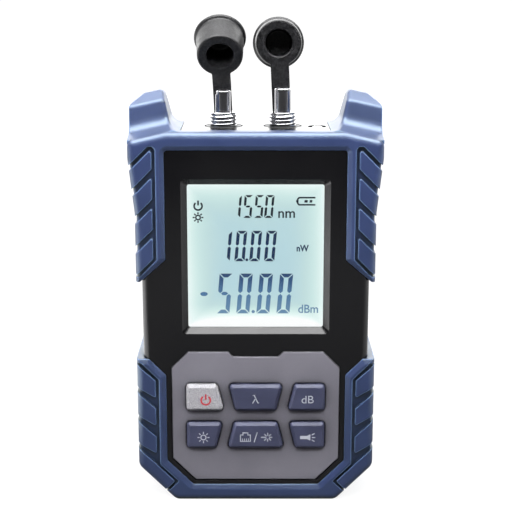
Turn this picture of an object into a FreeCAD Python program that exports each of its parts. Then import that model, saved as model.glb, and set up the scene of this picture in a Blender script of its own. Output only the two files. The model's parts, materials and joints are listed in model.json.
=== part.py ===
import FreeCAD, Part
import math
import os

# Hand-held optical power meter with a laser fault finder, a torch and a network
# cable tester.  Millimetres.  X runs to the right, the front face looks along -Y,
# Z is up, and the origin is the centre of the flat foot that the meter stands on.

V = FreeCAD.Vector

# ---- overall size -------------------------------------------------------------
FACE_WIDTH = 66.8         # across the lower bumper
SHOULDER_WIDTH = 69.6     # across the upper bumper, under the ears
BODY_DEPTH = 28.0         # front of the bumpers to their back
TOP_Z = 106.3             # top of the band between the ears
EAR_RISE = 10.1           # ear tips above that band
FOOT_CHAMFER = 10.5       # 45 degree corners beside the foot

# ---- skins and clearances -----------------------------------------------------
RUBBER_SIDE = 1.9
RUBBER_FRONT = 2.0        # rubber on the front, where it covers the case
RUBBER_TOP = 1.9
RUBBER_BACK = 1.0
LIP = 1.0                 # rubber stands this far in front of the bezel
RIM_SLOPE = 1.3           # its inner rim slopes down to the bezel over this width
RIM_DROP = 0.75
RUBBER_FIT = 0.05         # gap between rubber and case
WALL = 2.0
FRONT_WALL = 2.2
TOP_SINK = 0.3            # case top lies this far under the rubber
SPLIT_FROM_FRONT = 11.0   # seam between the two case halves
TONGUE = 0.9
TONGUE_GAP = 0.1
CORNER = 3.0
FRONT_ROUND = 2.0
BACK_ROUND = 3.0
CASE_BACK_ROUND = 4.0
TOP_BACK_ROUND = 5.0

# ---- bumper outlines ----------------------------------------------------------
LOWER_TOP_Z = 42.5
LOWER_SIDE = 8.2          # width of the lower bumper's front, beside the bezel
LOWER_FOOT = 4.9          # height of its front, under the bezel
LOWER_INNER_CHAMFER = 7.3
LOWER_SLANT = 4.8         # slanted upper end of its front
UPPER_BOTTOM_Z = 64.8
UPPER_WAIST = 0.3         # upper bumper's lower end is this much slimmer, each side
UPPER_SIDE = 8.5          # front width, taken from the lower bumper's side
UPPER_SLANT_X = 7.1
UPPER_SLANT_Z = 6.2
UPPER_BAND = 4.9          # front band over the display
WAIST_Z = 84.0
SHOULDER_Z = 99.0
EAR_FOOT_X = 24.4         # where the band starts to rise into the ear
EAR_DROP = 2.4            # outer end of the shoulder below the band
EAR_ROUND = 1.3           # rounding of the ears' inner rims
TOP_OPEN_HALF = 20.6      # half width of the opening over the case top
TOP_BAND_DEPTH = 5.3      # band between the ears, front to back
BACK_SIDE = 6.0           # rubber frame on the back
BACK_BAND_Z = 96.5
BACK_BAND_HEIGHT = 4.5

# ---- grip ribs ----------------------------------------------------------------
GROOVE = 1.1              # depth of the recess that the ribs stand in
GROOVE_SIDE = 0.5         # its depth on the sides of the bumpers
GRIP_EDGE = 6.2           # recess edge from the side of the lower bumper
RIB_EDGE = 5.3            # rib ends, from the same side
RIB_GAP = 0.75            # channel round the ribs
LOWER_RIB_TOP = 36.3
LOWER_RIB_PITCH = 8.35
LOWER_RIB_HEIGHT = 5.1
LOWER_GRIP_TOP = 36.6
UPPER_RIB_TOP = 94.2
UPPER_RIB_PITCH = 8.3
UPPER_RIB_HEIGHT = 6.1
UPPER_GRIP_TOP = 102.5
GRIP_BACK = 5.0           # the recess ends this far before the back

# ---- display ------------------------------------------------------------------
WINDOW_HALF = 18.8
WINDOW_BOTTOM_Z = 51.4
WINDOW_TOP_Z = 91.8
BEVEL = 1.7
BEVEL_DEPTH = 1.6
LENS_THICK = 1.0
LENS_EDGE = 1.0           # lens overlaps the window by this much
GLASS_EDGE = 1.8
GLASS_LEDGE = 3.8         # glass reaches this far below the window, for its contacts
GLASS_THICK = 2.2
LIGHT_THICK = 2.0
STRIP_HEIGHT = 1.7
STACK_GAP = 0.05

# ---- circuit board ------------------------------------------------------------
BOARD_FRONT = 8.0         # board face behind the bumper's front
BOARD_THICK = 1.6
BOARD_EDGE = 1.0
BOARD_BOTTOM_Z = 8.0
BOARD_TOP_Z = 100.0
CHIP_SIDE = 10.0
CHIP_THICK = 1.4

# ---- keypad -------------------------------------------------------------------
PANEL_FRAME = 1.5         # black frame between rubber and panel
PANEL_CHAMFER = 6.6
PANEL_TOP_Z = 44.6
PANEL_TOP_CHAMFER = 4.8
PANEL_NOTCH_HALF = 6.3
PANEL_NOTCH = 1.4
PANEL_THICK = 1.3
PANEL_POCKET = 1.2
PANEL_GAP = 0.15
KEY_EDGE = 4.2            # keys from the panel's side
KEY_ROW_GAP = 3.5
KEY_COLUMN_GAP = 3.3
KEY_TOP_Z = 35.2
KEY_HEIGHT = 7.75
KEY_SLANT = 1.9
KEY_MIDDLE_HALF = 7.6
KEY_MIDDLE_HALF_LOW = 6.1
KEY_RISE = 1.6            # key face in front of the panel
KEY_TRAVEL = 0.8
KEY_GAP = 0.25
KEY_FLANGE = 0.8
KEY_FLANGE_THICK = 0.9
KEY_CORNER = 1.0
KEY_BEVEL = 0.8           # sloping border of a key's face
KEY_BEVEL_DEPTH = 0.9
KEY_ROUND = 0.3
MAT_THICK = 0.95
MAT_EDGE = 1.4
DOME_RADIUS = 3.0
DOME_TIP_RADIUS = 1.8
PILL_RADIUS = 1.5
PILL_THICK = 0.35

# ---- fibre ports --------------------------------------------------------------
PORT_BEHIND_MIDDLE = 3.0
METER_PORT_X = -9.0
LASER_PORT_X = 7.6
THREAD_RADIUS = 4.0
THREAD_LENGTH = 3.85
NECK_RADIUS = 3.5
NECK_LENGTH = 9.2
METER_STEM_RADIUS = 2.0
METER_STEM = 6.0
LASER_STEM_RADIUS = 2.3
LASER_STEM = 6.6
FERRULE_RADIUS = 1.25
FERRULE_GAP = 0.012
SLEEVE_RADIUS = 1.6
SLEEVE_SEAT = 0.05
MOUTH_GAP = 0.15          # stem's mouth round the ferrule
MOUTH_FLARE = 0.1         # how much the mouth opens towards its rim
PORT_GAP = 0.1
STEM_LIP = 0.6
NUT_FLATS = 10.0
NUT_THICK = 2.1
LASER_RADIUS = 4.4
LASER_LENGTH = 18.0
TORCH_X = 17.2
TORCH_BEHIND_MIDDLE = 1.5
TORCH_RADIUS = 2.5

# ---- dust caps ----------------------------------------------------------------
RING_RADIUS = 5.1
RING_THICK = 0.9
RING_GAP = 0.1
STRAP_WIDTH = 5.2
STRAP_THICK = 1.2
STRAP_BEHIND = 4.75       # strap's middle behind the port's axis
CAP_LEAN = 2.6            # degrees, both straps lean to the left
FOLD_GAP = 0.05
METER_FOLD = 11.7         # fold of the strap above the ring
METER_RISE = 8.9          # cup's axis above the fold
METER_TILT = 25.0         # degrees, the left cap hangs forward
LASER_FOLD = 12.2
LASER_RISE = 11.4
LASER_TILT = 0.0
CUP_MOUTH_RADIUS = 6.4
CUP_BACK_RADIUS = 6.8
CUP_FLANGE_RADIUS = 7.4
CUP_FLANGE_THICK = 1.5
CUP_LENGTH = 11.0
CUP_HOLE_RADIUS = 3.75
CUP_FLOOR = 1.6

# ---- network socket -----------------------------------------------------------
JACK_WIDTH = 15.9
JACK_DEPTH = 13.4
JACK_HEIGHT = 18.0
JACK_SINK = 0.6
JACK_GAP = 0.2
PLUG_WIDTH = 11.9
PLUG_DEPTH = 6.8
PLUG_REACH = 13.0
LATCH_WIDTH = 6.2
LATCH_DEPTH = 2.4

# ---- batteries ----------------------------------------------------------------
CELL_RADIUS = 5.25
CELL_LENGTH = 44.5
CELL_NUB_RADIUS = 1.9
CELL_NUB = 0.8
CELL_SIDE_GAP = 0.4
CELL_GAP = 0.15
BAY_WALL = 1.2
BAY_END_GAP = 0.1
BAY_BOTTOM_Z = 24.6
PLATE_THICK = 0.4
PLATE_SIDE = 8.4
SPRING_LENGTH = 3.6
SPRING_WIDTH = 4.0
SPRING_THICK = 0.3
DOOR_THICK = 1.8
DOOR_GAP = 0.25
DOOR_OVERLAP = 0.6        # door edge past the bay's outer wall
LEDGE = 1.4               # ledge that the door lies on
DOOR_TAB_WIDTH = 5.0
DOOR_TAB_THICK = 1.2
DOOR_TAB_DROP = 2.4
DOOR_TAB_GAP = 0.35

# ---- screws -------------------------------------------------------------------
CASE_SCREW_EDGE = 9.4     # screw axes from the side of the lower bumper
CASE_SCREW_Z = (14.0, 90.0)
CASE_SCREW_RADIUS = 1.1
CASE_SCREW_LENGTH = 8.5
CASE_HEAD_RADIUS = 2.1
CASE_HEAD = 1.8
CASE_BOSS_RADIUS = 2.8
CASE_WEB = 3.0
BOARD_SCREW_EDGE = 7.4
BOARD_SCREW_Z = (47.5, 82.0)
BOARD_SCREW_RADIUS = 0.8
BOARD_SCREW_LENGTH = 4.4
BOARD_HEAD_RADIUS = 1.8
BOARD_HEAD = 1.2
BOARD_POST_RADIUS = 2.3
SCREW_GAP = 0.1
BOSS_WALL = 1.2

# ---- planes and levels that follow ---------------------------------------------
HALF = FACE_WIDTH / 2
SHOULDER_HALF = SHOULDER_WIDTH / 2
CASE_SCREW_X = HALF - CASE_SCREW_EDGE
BOARD_SCREW_X = HALF - BOARD_SCREW_EDGE
FRONT_Y = -BODY_DEPTH / 2
BACK_Y = BODY_DEPTH / 2
BEZEL_Y = FRONT_Y + LIP
STEP_Y = FRONT_Y + RUBBER_FRONT
CASE_BACK_Y = BACK_Y - RUBBER_BACK
INNER_FRONT_Y = BEZEL_Y + FRONT_WALL
INNER_BACK_Y = CASE_BACK_Y - WALL
SPLIT_Y = FRONT_Y + SPLIT_FROM_FRONT
BOARD_Y = FRONT_Y + BOARD_FRONT
BOARD_BACK_Y = BOARD_Y + BOARD_THICK
INNER_INSET = RUBBER_SIDE + WALL
CASE_TOP_Z = TOP_Z - TOP_SINK
LENS_Y = BEZEL_Y + BEVEL_DEPTH
GLASS_Y = LENS_Y + LENS_THICK + STACK_GAP
LIGHT_Y = GLASS_Y + GLASS_THICK + STACK_GAP
PANEL_BACK_Y = BEZEL_Y + PANEL_POCKET
PANEL_Y = PANEL_BACK_Y - PANEL_THICK
KEY_Y = PANEL_Y - KEY_RISE
KEY_FLANGE_Y = INNER_FRONT_Y + STACK_GAP
KEY_BACK_Y = KEY_FLANGE_Y + KEY_FLANGE_THICK
PORT_Y = PORT_BEHIND_MIDDLE
RING_FLOOR_Z = CASE_TOP_Z - RING_THICK
RING_Z = RING_FLOOR_Z + STACK_GAP
THREAD_Z = RING_Z + RING_THICK + STACK_GAP
STEM_Z = THREAD_Z + THREAD_LENGTH
NECK_Z = THREAD_Z - NECK_LENGTH
INNER_TOP_Z = TOP_Z - RUBBER_TOP - WALL
STRAP_Y = PORT_Y + STRAP_BEHIND
JACK_Y = BOARD_BACK_Y + JACK_GAP
DOOR_Y = CASE_BACK_Y - DOOR_THICK
CELL_SPACING = 2 * CELL_RADIUS + CELL_SIDE_GAP
CELL_Y = DOOR_Y - 2 * CELL_GAP - CELL_RADIUS
BAY_FLOOR_Y = CELL_Y - CELL_RADIUS - CELL_GAP
BAY_HALF = CELL_SPACING + CELL_RADIUS + CELL_GAP
BAY_LENGTH = CELL_LENGTH + SPRING_LENGTH + 2 * PLATE_THICK + BAY_END_GAP
BAY_Z = BAY_BOTTOM_Z + BAY_WALL
BAY_TOP_Z = BAY_Z + BAY_LENGTH
DOOR_HALF = BAY_HALF + BAY_WALL + DOOR_OVERLAP
DOOR_BOTTOM_Z = BAY_BOTTOM_Z - 2.0
DOOR_TOP_Z = BAY_TOP_Z + BAY_WALL + DOOR_OVERLAP
FAR = 5.0                 # cutting tools reach this far past what they cut

KEY_NAMES = (
    ("key_power", "key_wavelength", "key_reference"),
    ("key_backlight", "key_port", "key_torch"),
)


# ---- drawing helpers ------------------------------------------------------------

def outline(points, bevelled=False):
    """A closed wire in the plane Y = 0 from (x, z, corner radius) points."""
    count = len(points)
    corners = []
    for i in range(count):
        x, z, radius = points[i]
        here = V(x, 0, z)
        before = points[i - 1]
        after = points[(i + 1) % count]
        back = (V(before[0], 0, before[1]) - here).normalize()
        ahead = (V(after[0], 0, after[1]) - here).normalize()
        half_angle = back.getAngle(ahead) / 2
        reach = radius / math.tan(half_angle)
        inward = back + ahead
        if radius > 0:
            inward.normalize()
        middle = here + inward * (radius / math.sin(half_angle) - radius)
        corners.append((here + back * reach, middle, here + ahead * reach))
    edges = []
    for i in range(count):
        start, middle, end = corners[i]
        if points[i][2] > 0 and bevelled:
            edges.append(Part.LineSegment(start, end).toShape())
        elif points[i][2] > 0:
            edges.append(Part.Arc(start, middle, end).toShape())
        following = corners[(i + 1) % count][0]
        if (following - end).Length > 1e-6:
            edges.append(Part.LineSegment(end, following).toShape())
    return Part.Wire(edges)


def both_sides(half):
    """Close a right-hand half outline, listed upwards, with its mirror image."""
    return half + [(-x, z, radius) for x, z, radius in reversed(half)]


def slab(points, near_y, far_y, grow=0.0):
    """Extrude an outline from near_y to far_y, grown sideways if asked."""
    face = Part.Face(outline(points))
    if grow:
        face = face.makeOffset2D(grow)
    face.translate(V(0, near_y, 0))
    return face.extrude(V(0, far_y - near_y, 0))


def edges_at(shape, y):
    """The edges of a shape that lie in the plane at y."""
    return [edge for edge in shape.Edges if all(abs(v.Y - y) < 1e-6 for v in edge.Vertexes)]


def soft_slab(points, near_y, far_y, near_round, far_round):
    """A slab with rounded front and back rims."""
    block = slab(points, near_y, far_y)
    block = block.makeFillet(near_round, edges_at(block, near_y))
    return block.makeFillet(far_round, edges_at(block, far_y))


def block(x0, x1, y0, y1, z0, z1):
    """A rectangular block between opposite corners."""
    return Part.makeBox(x1 - x0, y1 - y0, z1 - z0, V(x0, y0, z0))


def turned(profile, x, y):
    """Turn a (radius, z, edge break) profile about a vertical axis."""
    solid = Part.Face(outline(profile, True)).revolve(V(0, 0, 0), V(0, 0, 1), 360)
    solid.translate(V(x, y, 0))
    return solid


def rod(radius, near_y, far_y, x, z):
    """A round rod along Y."""
    return Part.makeCylinder(radius, far_y - near_y, V(x, near_y, z), V(0, 1, 0))


def fused(shapes):
    """Join shapes into one clean solid."""
    return shapes[0].multiFuse(shapes[1:]).removeSplitter()


def case_half(inset, top_z):
    """Half outline of the case, a given distance inside the lower bumper's face."""
    lean = inset * (math.sqrt(2) - 1)
    radius = max(CORNER - inset / 2, 0.5)
    return [
        (HALF - FOOT_CHAMFER - lean, inset, radius),
        (HALF - inset, FOOT_CHAMFER + lean, radius),
        (HALF - inset, top_z, radius),
    ]


def case_block(grow, front_y, back_y, front_round, back_round):
    """The closed case body under the rubber, grown by a clearance."""
    half = case_half(RUBBER_SIDE - grow, TOP_Z - RUBBER_TOP + grow)
    return soft_slab(both_sides(half), front_y - grow, back_y + grow, front_round, back_round)


def face_half():
    """Half outline of the bezel: what both bumpers leave open at the front."""
    lower_x = HALF - LOWER_SIDE
    upper_x = HALF - UPPER_SIDE
    return [
        (lower_x - LOWER_INNER_CHAMFER, LOWER_FOOT, 1.0),
        (lower_x, LOWER_FOOT + LOWER_INNER_CHAMFER, 1.0),
        (lower_x, LOWER_TOP_Z - LOWER_SLANT, 1.0),
        (lower_x + LOWER_SLANT, LOWER_TOP_Z, 0),
        (HALF + FAR, LOWER_TOP_Z, 0),
        (HALF + FAR, UPPER_BOTTOM_Z, 0),
        (upper_x + UPPER_SLANT_X, UPPER_BOTTOM_Z, 0),
        (upper_x, UPPER_BOTTOM_Z + UPPER_SLANT_Z, 1.0),
        (upper_x, TOP_Z - UPPER_BAND, 1.0),
    ]


# ---- bumpers --------------------------------------------------------------------

def face_opening():
    """The bezel's opening through a bumper, with the slope of the rubber's rim."""
    half = face_half()
    rim = Part.Face(outline(both_sides(half))).makeOffset2D(RIM_SLOPE)
    rim.translate(V(0, FRONT_Y - RIM_DROP, 0))
    flare = rim.extrude(V(0, 2 * RIM_DROP, 0))
    flare = flare.makeChamfer(RIM_DROP, RIM_SLOPE, edges_at(flare, FRONT_Y + RIM_DROP))
    return slab(both_sides(half), FRONT_Y - FAR, STEP_Y + 1).fuse(flare)


def back_half(bottom_z, top_z, bottom_chamfer, top_chamfer):
    """Half outline of the opening that a bumper leaves on the back."""
    x = HALF - BACK_SIDE
    return [
        (x - bottom_chamfer, bottom_z, 0.8),
        (x, bottom_z + bottom_chamfer, 0.8),
        (x, top_z - top_chamfer, 0.8),
        (x - top_chamfer, top_z, 0.8),
    ]


def lower_body(inset, depth):
    """Outer form of the lower bumper, or the same form inset at its sides and front."""
    half = case_half(inset, LOWER_TOP_Z + 2 * FAR)
    body = soft_slab(both_sides(half), FRONT_Y + depth, BACK_Y, FRONT_ROUND - depth, BACK_ROUND)
    lid = block(-HALF - FAR, HALF + FAR, FRONT_Y - FAR, BACK_Y + FAR, LOWER_TOP_Z, LOWER_TOP_Z + 4 * FAR)
    return body.cut(lid)


def lower_grip():
    """The recess beside the bezel, less the ribs that stand in it, right side."""
    edge = HALF - GRIP_EDGE
    rib = HALF - RIB_EDGE
    far = HALF + FAR
    foot_z = LOWER_FOOT + LOWER_INNER_CHAMFER - (GRIP_EDGE - RIB_EDGE)
    foot = LOWER_INNER_CHAMFER - 2.1
    recess = slab([
        (edge - foot, foot_z - foot, 0),
        (edge - foot + 2 * FAR, foot_z - foot - 2 * FAR, 0),
        (far + FAR, foot_z - foot - 2 * FAR, 0),
        (far + FAR, LOWER_TOP_Z - 1.1, 0),
        (edge + LOWER_TOP_Z - 1.1 - LOWER_GRIP_TOP, LOWER_TOP_Z - 1.1, 0),
        (edge, LOWER_GRIP_TOP, 0.6),
        (edge, foot_z, 0.6),
    ], FRONT_Y - FAR, BACK_Y - GRIP_BACK)
    ribs = []
    for i in range(3):
        top = LOWER_RIB_TOP - LOWER_RIB_PITCH * i
        bottom = top - LOWER_RIB_HEIGHT
        rise = far - rib
        ribs.append(slab([
            (rib, bottom, 0.4),
            (far, bottom + 0.6 * rise, 0),
            (far, top + 0.9 * rise, 0),
            (rib, top, 0.4),
        ], FRONT_Y - FAR, BACK_Y))
    shift = RIB_GAP * math.sqrt(2)
    top = LOWER_RIB_TOP - LOWER_RIB_PITCH * 3
    end = (edge - foot + shift, foot_z - foot)
    ribs.append(slab([
        (end[0], end[1], 0.4),
        (end[0] + 2 * FAR, end[1] - 2 * FAR, 0),
        (far + FAR, end[1] - 2 * FAR, 0),
        (far, top + 0.9 * (far - rib), 0),
        (rib, top, 0.4),
        (rib, end[1] + rib - end[0], 0.4),
    ], FRONT_Y - FAR, BACK_Y))
    return recess.cut(ribs[0].multiFuse(ribs[1:]))


def with_mirror(shape):
    """A tool and its mirror image in the plane X = 0."""
    return shape.fuse(shape.mirror(V(0, 0, 0), V(1, 0, 0)))


def jack_opening():
    """Space for the network socket, right through the foot."""
    half = JACK_WIDTH / 2 + JACK_GAP
    return block(-half, half, JACK_Y - JACK_GAP, JACK_Y + JACK_DEPTH + JACK_GAP,
                 -FAR, JACK_SINK + JACK_HEIGHT)


def lower_bumper():
    body = lower_body(0, 0)
    body = body.cut(case_block(RUBBER_FIT, STEP_Y, CASE_BACK_Y, 1.5, CASE_BACK_ROUND))
    body = body.cut(face_opening())
    back = back_half(BACK_SIDE, LOWER_TOP_Z + FAR, LOWER_INNER_CHAMFER, 0.1)
    body = body.cut(slab(both_sides(back), CASE_BACK_Y - 1, BACK_Y + FAR))
    body = body.cut(jack_opening())
    return body.cut(with_mirror(lower_grip()).cut(lower_body(GROOVE_SIDE, GROOVE)))


def upper_body(inset, depth):
    """Outer form of the upper bumper without its ears, or the same form inset."""
    top = TOP_Z - inset
    waist = HALF - UPPER_WAIST - inset
    shoulder = SHOULDER_HALF - inset
    half = [
        (waist, UPPER_BOTTOM_Z - 2 * FAR, 0),
        (waist, WAIST_Z, 8.0),
        (shoulder, SHOULDER_Z, 8.0),
        (shoulder, top - EAR_DROP, 2.2),
        (EAR_FOOT_X, top, 4.0),
    ]
    body = soft_slab(both_sides(half), FRONT_Y + depth, BACK_Y, FRONT_ROUND - depth, BACK_ROUND)
    lid = block(-SHOULDER_HALF - FAR, SHOULDER_HALF + FAR, FRONT_Y - FAR, BACK_Y + FAR,
                UPPER_BOTTOM_Z - 4 * FAR, UPPER_BOTTOM_Z)
    return body.cut(lid)


def ear():
    """The right ear: its front outline crossed with its scooped side outline."""
    tip = TOP_Z + EAR_RISE
    root = TOP_Z - EAR_DROP - 1.0
    front = slab([
        (TOP_OPEN_HALF - 0.6, root, 0),
        (SHOULDER_HALF, root, 0),
        (SHOULDER_HALF + 0.1, tip - 4.0, 1.5),
        (SHOULDER_HALF - 5.2, tip, 3.0),
        (EAR_FOOT_X + 1.2, tip, 1.8),
        (EAR_FOOT_X - 1.1, TOP_Z, 3.6),
        (TOP_OPEN_HALF - 0.6, TOP_Z, 0),
    ], FRONT_Y, BACK_Y)
    foot_y = FRONT_Y + FRONT_ROUND
    side = Part.Face(outline([
        (foot_y, root - 1, 0),
        (foot_y, TOP_Z - 0.1, 0),
        (foot_y + 7.4, TOP_Z + 1.4, 4.0),
        (foot_y + 8.6, tip - 2.2, 1.6),
        (foot_y + 13.4, tip + 0.4, 3.0),
        (foot_y + 19.0, tip + 0.4, 5.0),
        (BACK_Y - BACK_ROUND, TOP_Z, 3.0),
        (BACK_Y - 1.0, root - 1, 0),
    ]))
    side.rotate(V(0, 0, 0), V(0, 0, 1), 90)
    side.translate(V(EAR_FOOT_X - FAR, 0, 0.22 * FAR))
    reach = SHOULDER_HALF - EAR_FOOT_X + 2 * FAR
    body = front.common(side.extrude(V(reach, 0, -0.22 * reach)))
    rim = []
    for edge in body.Edges:
        halfway = (edge.FirstParameter + edge.LastParameter) / 2
        middle = edge.valueAt(halfway)
        inner = abs(middle.x - EAR_FOOT_X) < EAR_ROUND and abs(edge.tangentAt(halfway).y) < 0.99
        if inner and foot_y + 2.5 < middle.y < BACK_Y - BACK_ROUND:
            rim.append(edge)
    return body.makeFillet(EAR_ROUND, rim)


def upper_grip():
    """The recess and ribs beside the display, right side."""
    edge = HALF - GRIP_EDGE
    rib = HALF - RIB_EDGE
    far = SHOULDER_HALF + FAR
    foot_z = UPPER_BOTTOM_Z + UPPER_SLANT_Z + 0.1
    low_z = UPPER_BOTTOM_Z + 1.4
    high_z = SHOULDER_Z - 1.6
    recess = slab([
        (edge, foot_z, 0.6),
        (edge + foot_z - low_z, low_z, 0),
        (far, low_z, 0),
        (far, high_z, 0),
        (edge + 2.0 + UPPER_GRIP_TOP - high_z, high_z, 0),
        (edge + 2.0, UPPER_GRIP_TOP, 0.8),
        (edge + 0.7, UPPER_GRIP_TOP, 0.5),
        (edge, UPPER_GRIP_TOP - 0.9, 0.5),
    ], FRONT_Y - FAR, BACK_Y - GRIP_BACK)
    rise = far - rib
    ribs = []
    for i in range(-1, 3):
        top = UPPER_RIB_TOP - UPPER_RIB_PITCH * i
        bottom = top - UPPER_RIB_HEIGHT
        ribs.append([
            (rib, bottom, 0.4),
            (far, bottom - rise, 0),
            (far, top - rise, 0),
            (rib, top, 0.4),
        ])
    crest = UPPER_GRIP_TOP - 1.1
    first_bottom = ribs[0][0][1]
    ribs[0] = [
        (rib, first_bottom, 0.4),
        (far, first_bottom - rise, 0),
        (far, crest - rise + 0.6, 0),
        (rib + 0.6, crest, 0.3),
        (rib, crest - 0.6, 0.3),
    ]
    last_top = ribs[3][3][1]
    last_bottom = ribs[3][0][1]
    level = low_z + RIB_GAP
    ribs[3] = [
        (rib, last_bottom, 0.4),
        (rib + last_bottom - level, level, 0),
        (far, level, 0),
        (far, last_top - rise + 4.0, 0),
        (rib + rise - 4.0, last_top - rise + 4.0, 0),
        (rib, last_top, 0.4),
    ]
    solids = [slab(points, FRONT_Y - FAR, BACK_Y) for points in ribs]
    return recess.cut(solids[0].multiFuse(solids[1:]))


def top_opening():
    """Space over the case top, between the ears."""
    return block(-TOP_OPEN_HALF, TOP_OPEN_HALF, FRONT_Y + TOP_BAND_DEPTH, BACK_Y + FAR,
                 BACK_BAND_Z + BACK_BAND_HEIGHT, TOP_Z + FAR)


def upper_bumper():
    right = ear()
    left = right.mirror(V(0, 0, 0), V(1, 0, 0))
    body = fused([upper_body(0, 0), right, left])
    body = body.cut(case_block(RUBBER_FIT, STEP_Y, CASE_BACK_Y, 1.5, CASE_BACK_ROUND))
    body = body.cut(face_opening())
    back = back_half(UPPER_BOTTOM_Z - FAR, BACK_BAND_Z, 0.1, 3.0)
    body = body.cut(slab(both_sides(back), CASE_BACK_Y - 1, BACK_Y + FAR))
    body = body.cut(top_opening())
    return body.cut(with_mirror(upper_grip()).cut(upper_body(GROOVE_SIDE, GROOVE)))


# ---- case -----------------------------------------------------------------------

def case_body():
    """Both case halves together, solid outside and hollow inside."""
    body = case_block(0, STEP_Y, CASE_BACK_Y, 1.5, CASE_BACK_ROUND)
    raised = case_block(0, BEZEL_Y, CASE_BACK_Y, FRONT_ROUND, CASE_BACK_ROUND)
    bezel = slab(both_sides(face_half()), BEZEL_Y - 1, STEP_Y + 1, -RUBBER_FIT)
    half = TOP_OPEN_HALF - RUBBER_FIT
    front = FRONT_Y + TOP_BAND_DEPTH + RUBBER_FIT
    low = BACK_BAND_Z + BACK_BAND_HEIGHT + RUBBER_FIT
    side = Part.Face(outline([
        (front, low, 0),
        (CASE_BACK_Y, low, 0),
        (CASE_BACK_Y, CASE_TOP_Z, TOP_BACK_ROUND - 0.1),
        (front, CASE_TOP_Z, 0),
    ]))
    side.rotate(V(0, 0, 0), V(0, 0, 1), 90)
    side.translate(V(-half, 0, 0))
    body = fused([body, raised.common(bezel), side.extrude(V(2 * half, 0, 0))])
    inside = both_sides(case_half(INNER_INSET, INNER_TOP_Z))
    return body.cut(slab(inside, INNER_FRONT_Y, INNER_BACK_Y))


def window_opening():
    """Bevelled display window, with the seat of its lens behind it."""
    middle = (WINDOW_BOTTOM_Z + WINDOW_TOP_Z) / 2
    height = (WINDOW_TOP_Z - WINDOW_BOTTOM_Z) / 2

    def frame(grow, y, radius):
        half = WINDOW_HALF + grow
        wire = outline([
            (half, middle - height - grow, radius),
            (half, middle + height + grow, radius),
            (-half, middle + height + grow, radius),
            (-half, middle - height - grow, radius),
        ])
        wire.translate(V(0, y, 0))
        return wire

    bevel = Part.makeLoft([frame(BEVEL, BEZEL_Y, 1.2), frame(0, LENS_Y, 0.6)], True)
    mouth = Part.Face(frame(BEVEL, BEZEL_Y - 1, 1.2)).extrude(V(0, 1, 0))
    seat = Part.Face(frame(LENS_EDGE + 0.1, LENS_Y, 0.6)).extrude(V(0, FRONT_WALL, 0))
    return bevel.multiFuse([mouth, seat])


def display_window():
    half = WINDOW_HALF + LENS_EDGE
    return slab([
        (half, WINDOW_BOTTOM_Z - LENS_EDGE, 0.8),
        (half, WINDOW_TOP_Z + LENS_EDGE, 0.8),
        (-half, WINDOW_TOP_Z + LENS_EDGE, 0.8),
        (-half, WINDOW_BOTTOM_Z - LENS_EDGE, 0.8),
    ], LENS_Y, LENS_Y + LENS_THICK)


def panel_half():
    """Half outline of the keypad panel."""
    x = HALF - LOWER_SIDE - PANEL_FRAME
    foot = LOWER_FOOT + PANEL_FRAME - 0.2
    return [
        (x - PANEL_CHAMFER, foot, 0.4),
        (x, foot + PANEL_CHAMFER, 0.4),
        (x, PANEL_TOP_Z - PANEL_TOP_CHAMFER, 0.4),
        (x - PANEL_TOP_CHAMFER, PANEL_TOP_Z, 0.4),
        (PANEL_NOTCH_HALF + PANEL_NOTCH, PANEL_TOP_Z, 0.4),
        (PANEL_NOTCH_HALF, PANEL_TOP_Z - PANEL_NOTCH, 0.4),
    ]


def key_points(row, column):
    """Outline of one key: the two rows slant opposite ways."""
    edge = HALF - LOWER_SIDE - PANEL_FRAME - KEY_EDGE
    top_z = KEY_TOP_Z - row * (KEY_HEIGHT + KEY_ROW_GAP)
    bottom_z = top_z - KEY_HEIGHT
    middle_top = KEY_MIDDLE_HALF if row == 0 else KEY_MIDDLE_HALF_LOW
    middle_bottom = middle_top - KEY_SLANT if row == 0 else middle_top + KEY_SLANT
    if column == 1:
        return [
            (middle_bottom, bottom_z, KEY_CORNER),
            (middle_top, top_z, KEY_CORNER),
            (-middle_top, top_z, KEY_CORNER),
            (-middle_bottom, bottom_z, KEY_CORNER),
        ]
    side = column - 1
    corners = [
        (edge, bottom_z),
        (edge, top_z),
        (middle_top + KEY_COLUMN_GAP, top_z),
        (middle_bottom + KEY_COLUMN_GAP, bottom_z),
    ]
    if side < 0:
        corners.reverse()
    return [(side * x, z, KEY_CORNER) for x, z in corners]


def key_centre(row, column):
    """Where a key bears on its dome."""
    points = key_points(row, column)
    return (sum(point[0] for point in points) / 4, sum(point[1] for point in points) / 4)


def all_keys():
    """Every key's row and column."""
    return [(row, column) for row in range(2) for column in range(3)]


def key_openings():
    """Holes that the keys stand in, through the panel and the case."""
    holes = []
    for row, column in all_keys():
        holes.append(slab(key_points(row, column), PANEL_Y - 1, INNER_FRONT_Y + 1, KEY_GAP))
    return holes[0].multiFuse(holes[1:])


def keypad_panel():
    half = panel_half()
    plate = slab(both_sides(half), PANEL_Y, PANEL_BACK_Y)
    plate = plate.makeChamfer(0.25, edges_at(plate, PANEL_Y))
    return plate.cut(key_openings())


def key(row, column):
    points = key_points(row, column)
    cap = slab(points, KEY_Y, KEY_BACK_Y)
    cap = cap.makeChamfer(KEY_BEVEL_DEPTH, KEY_BEVEL, edges_at(cap, KEY_Y))
    cap = cap.makeFillet(KEY_ROUND, edges_at(cap, KEY_Y))
    flange = slab(points, KEY_FLANGE_Y, KEY_BACK_Y, KEY_FLANGE)
    return fused([cap, flange])


def screw_places(x, levels):
    """The four places of a set of screws."""
    return [(side * x, z) for side in (-1, 1) for z in levels]


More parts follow.
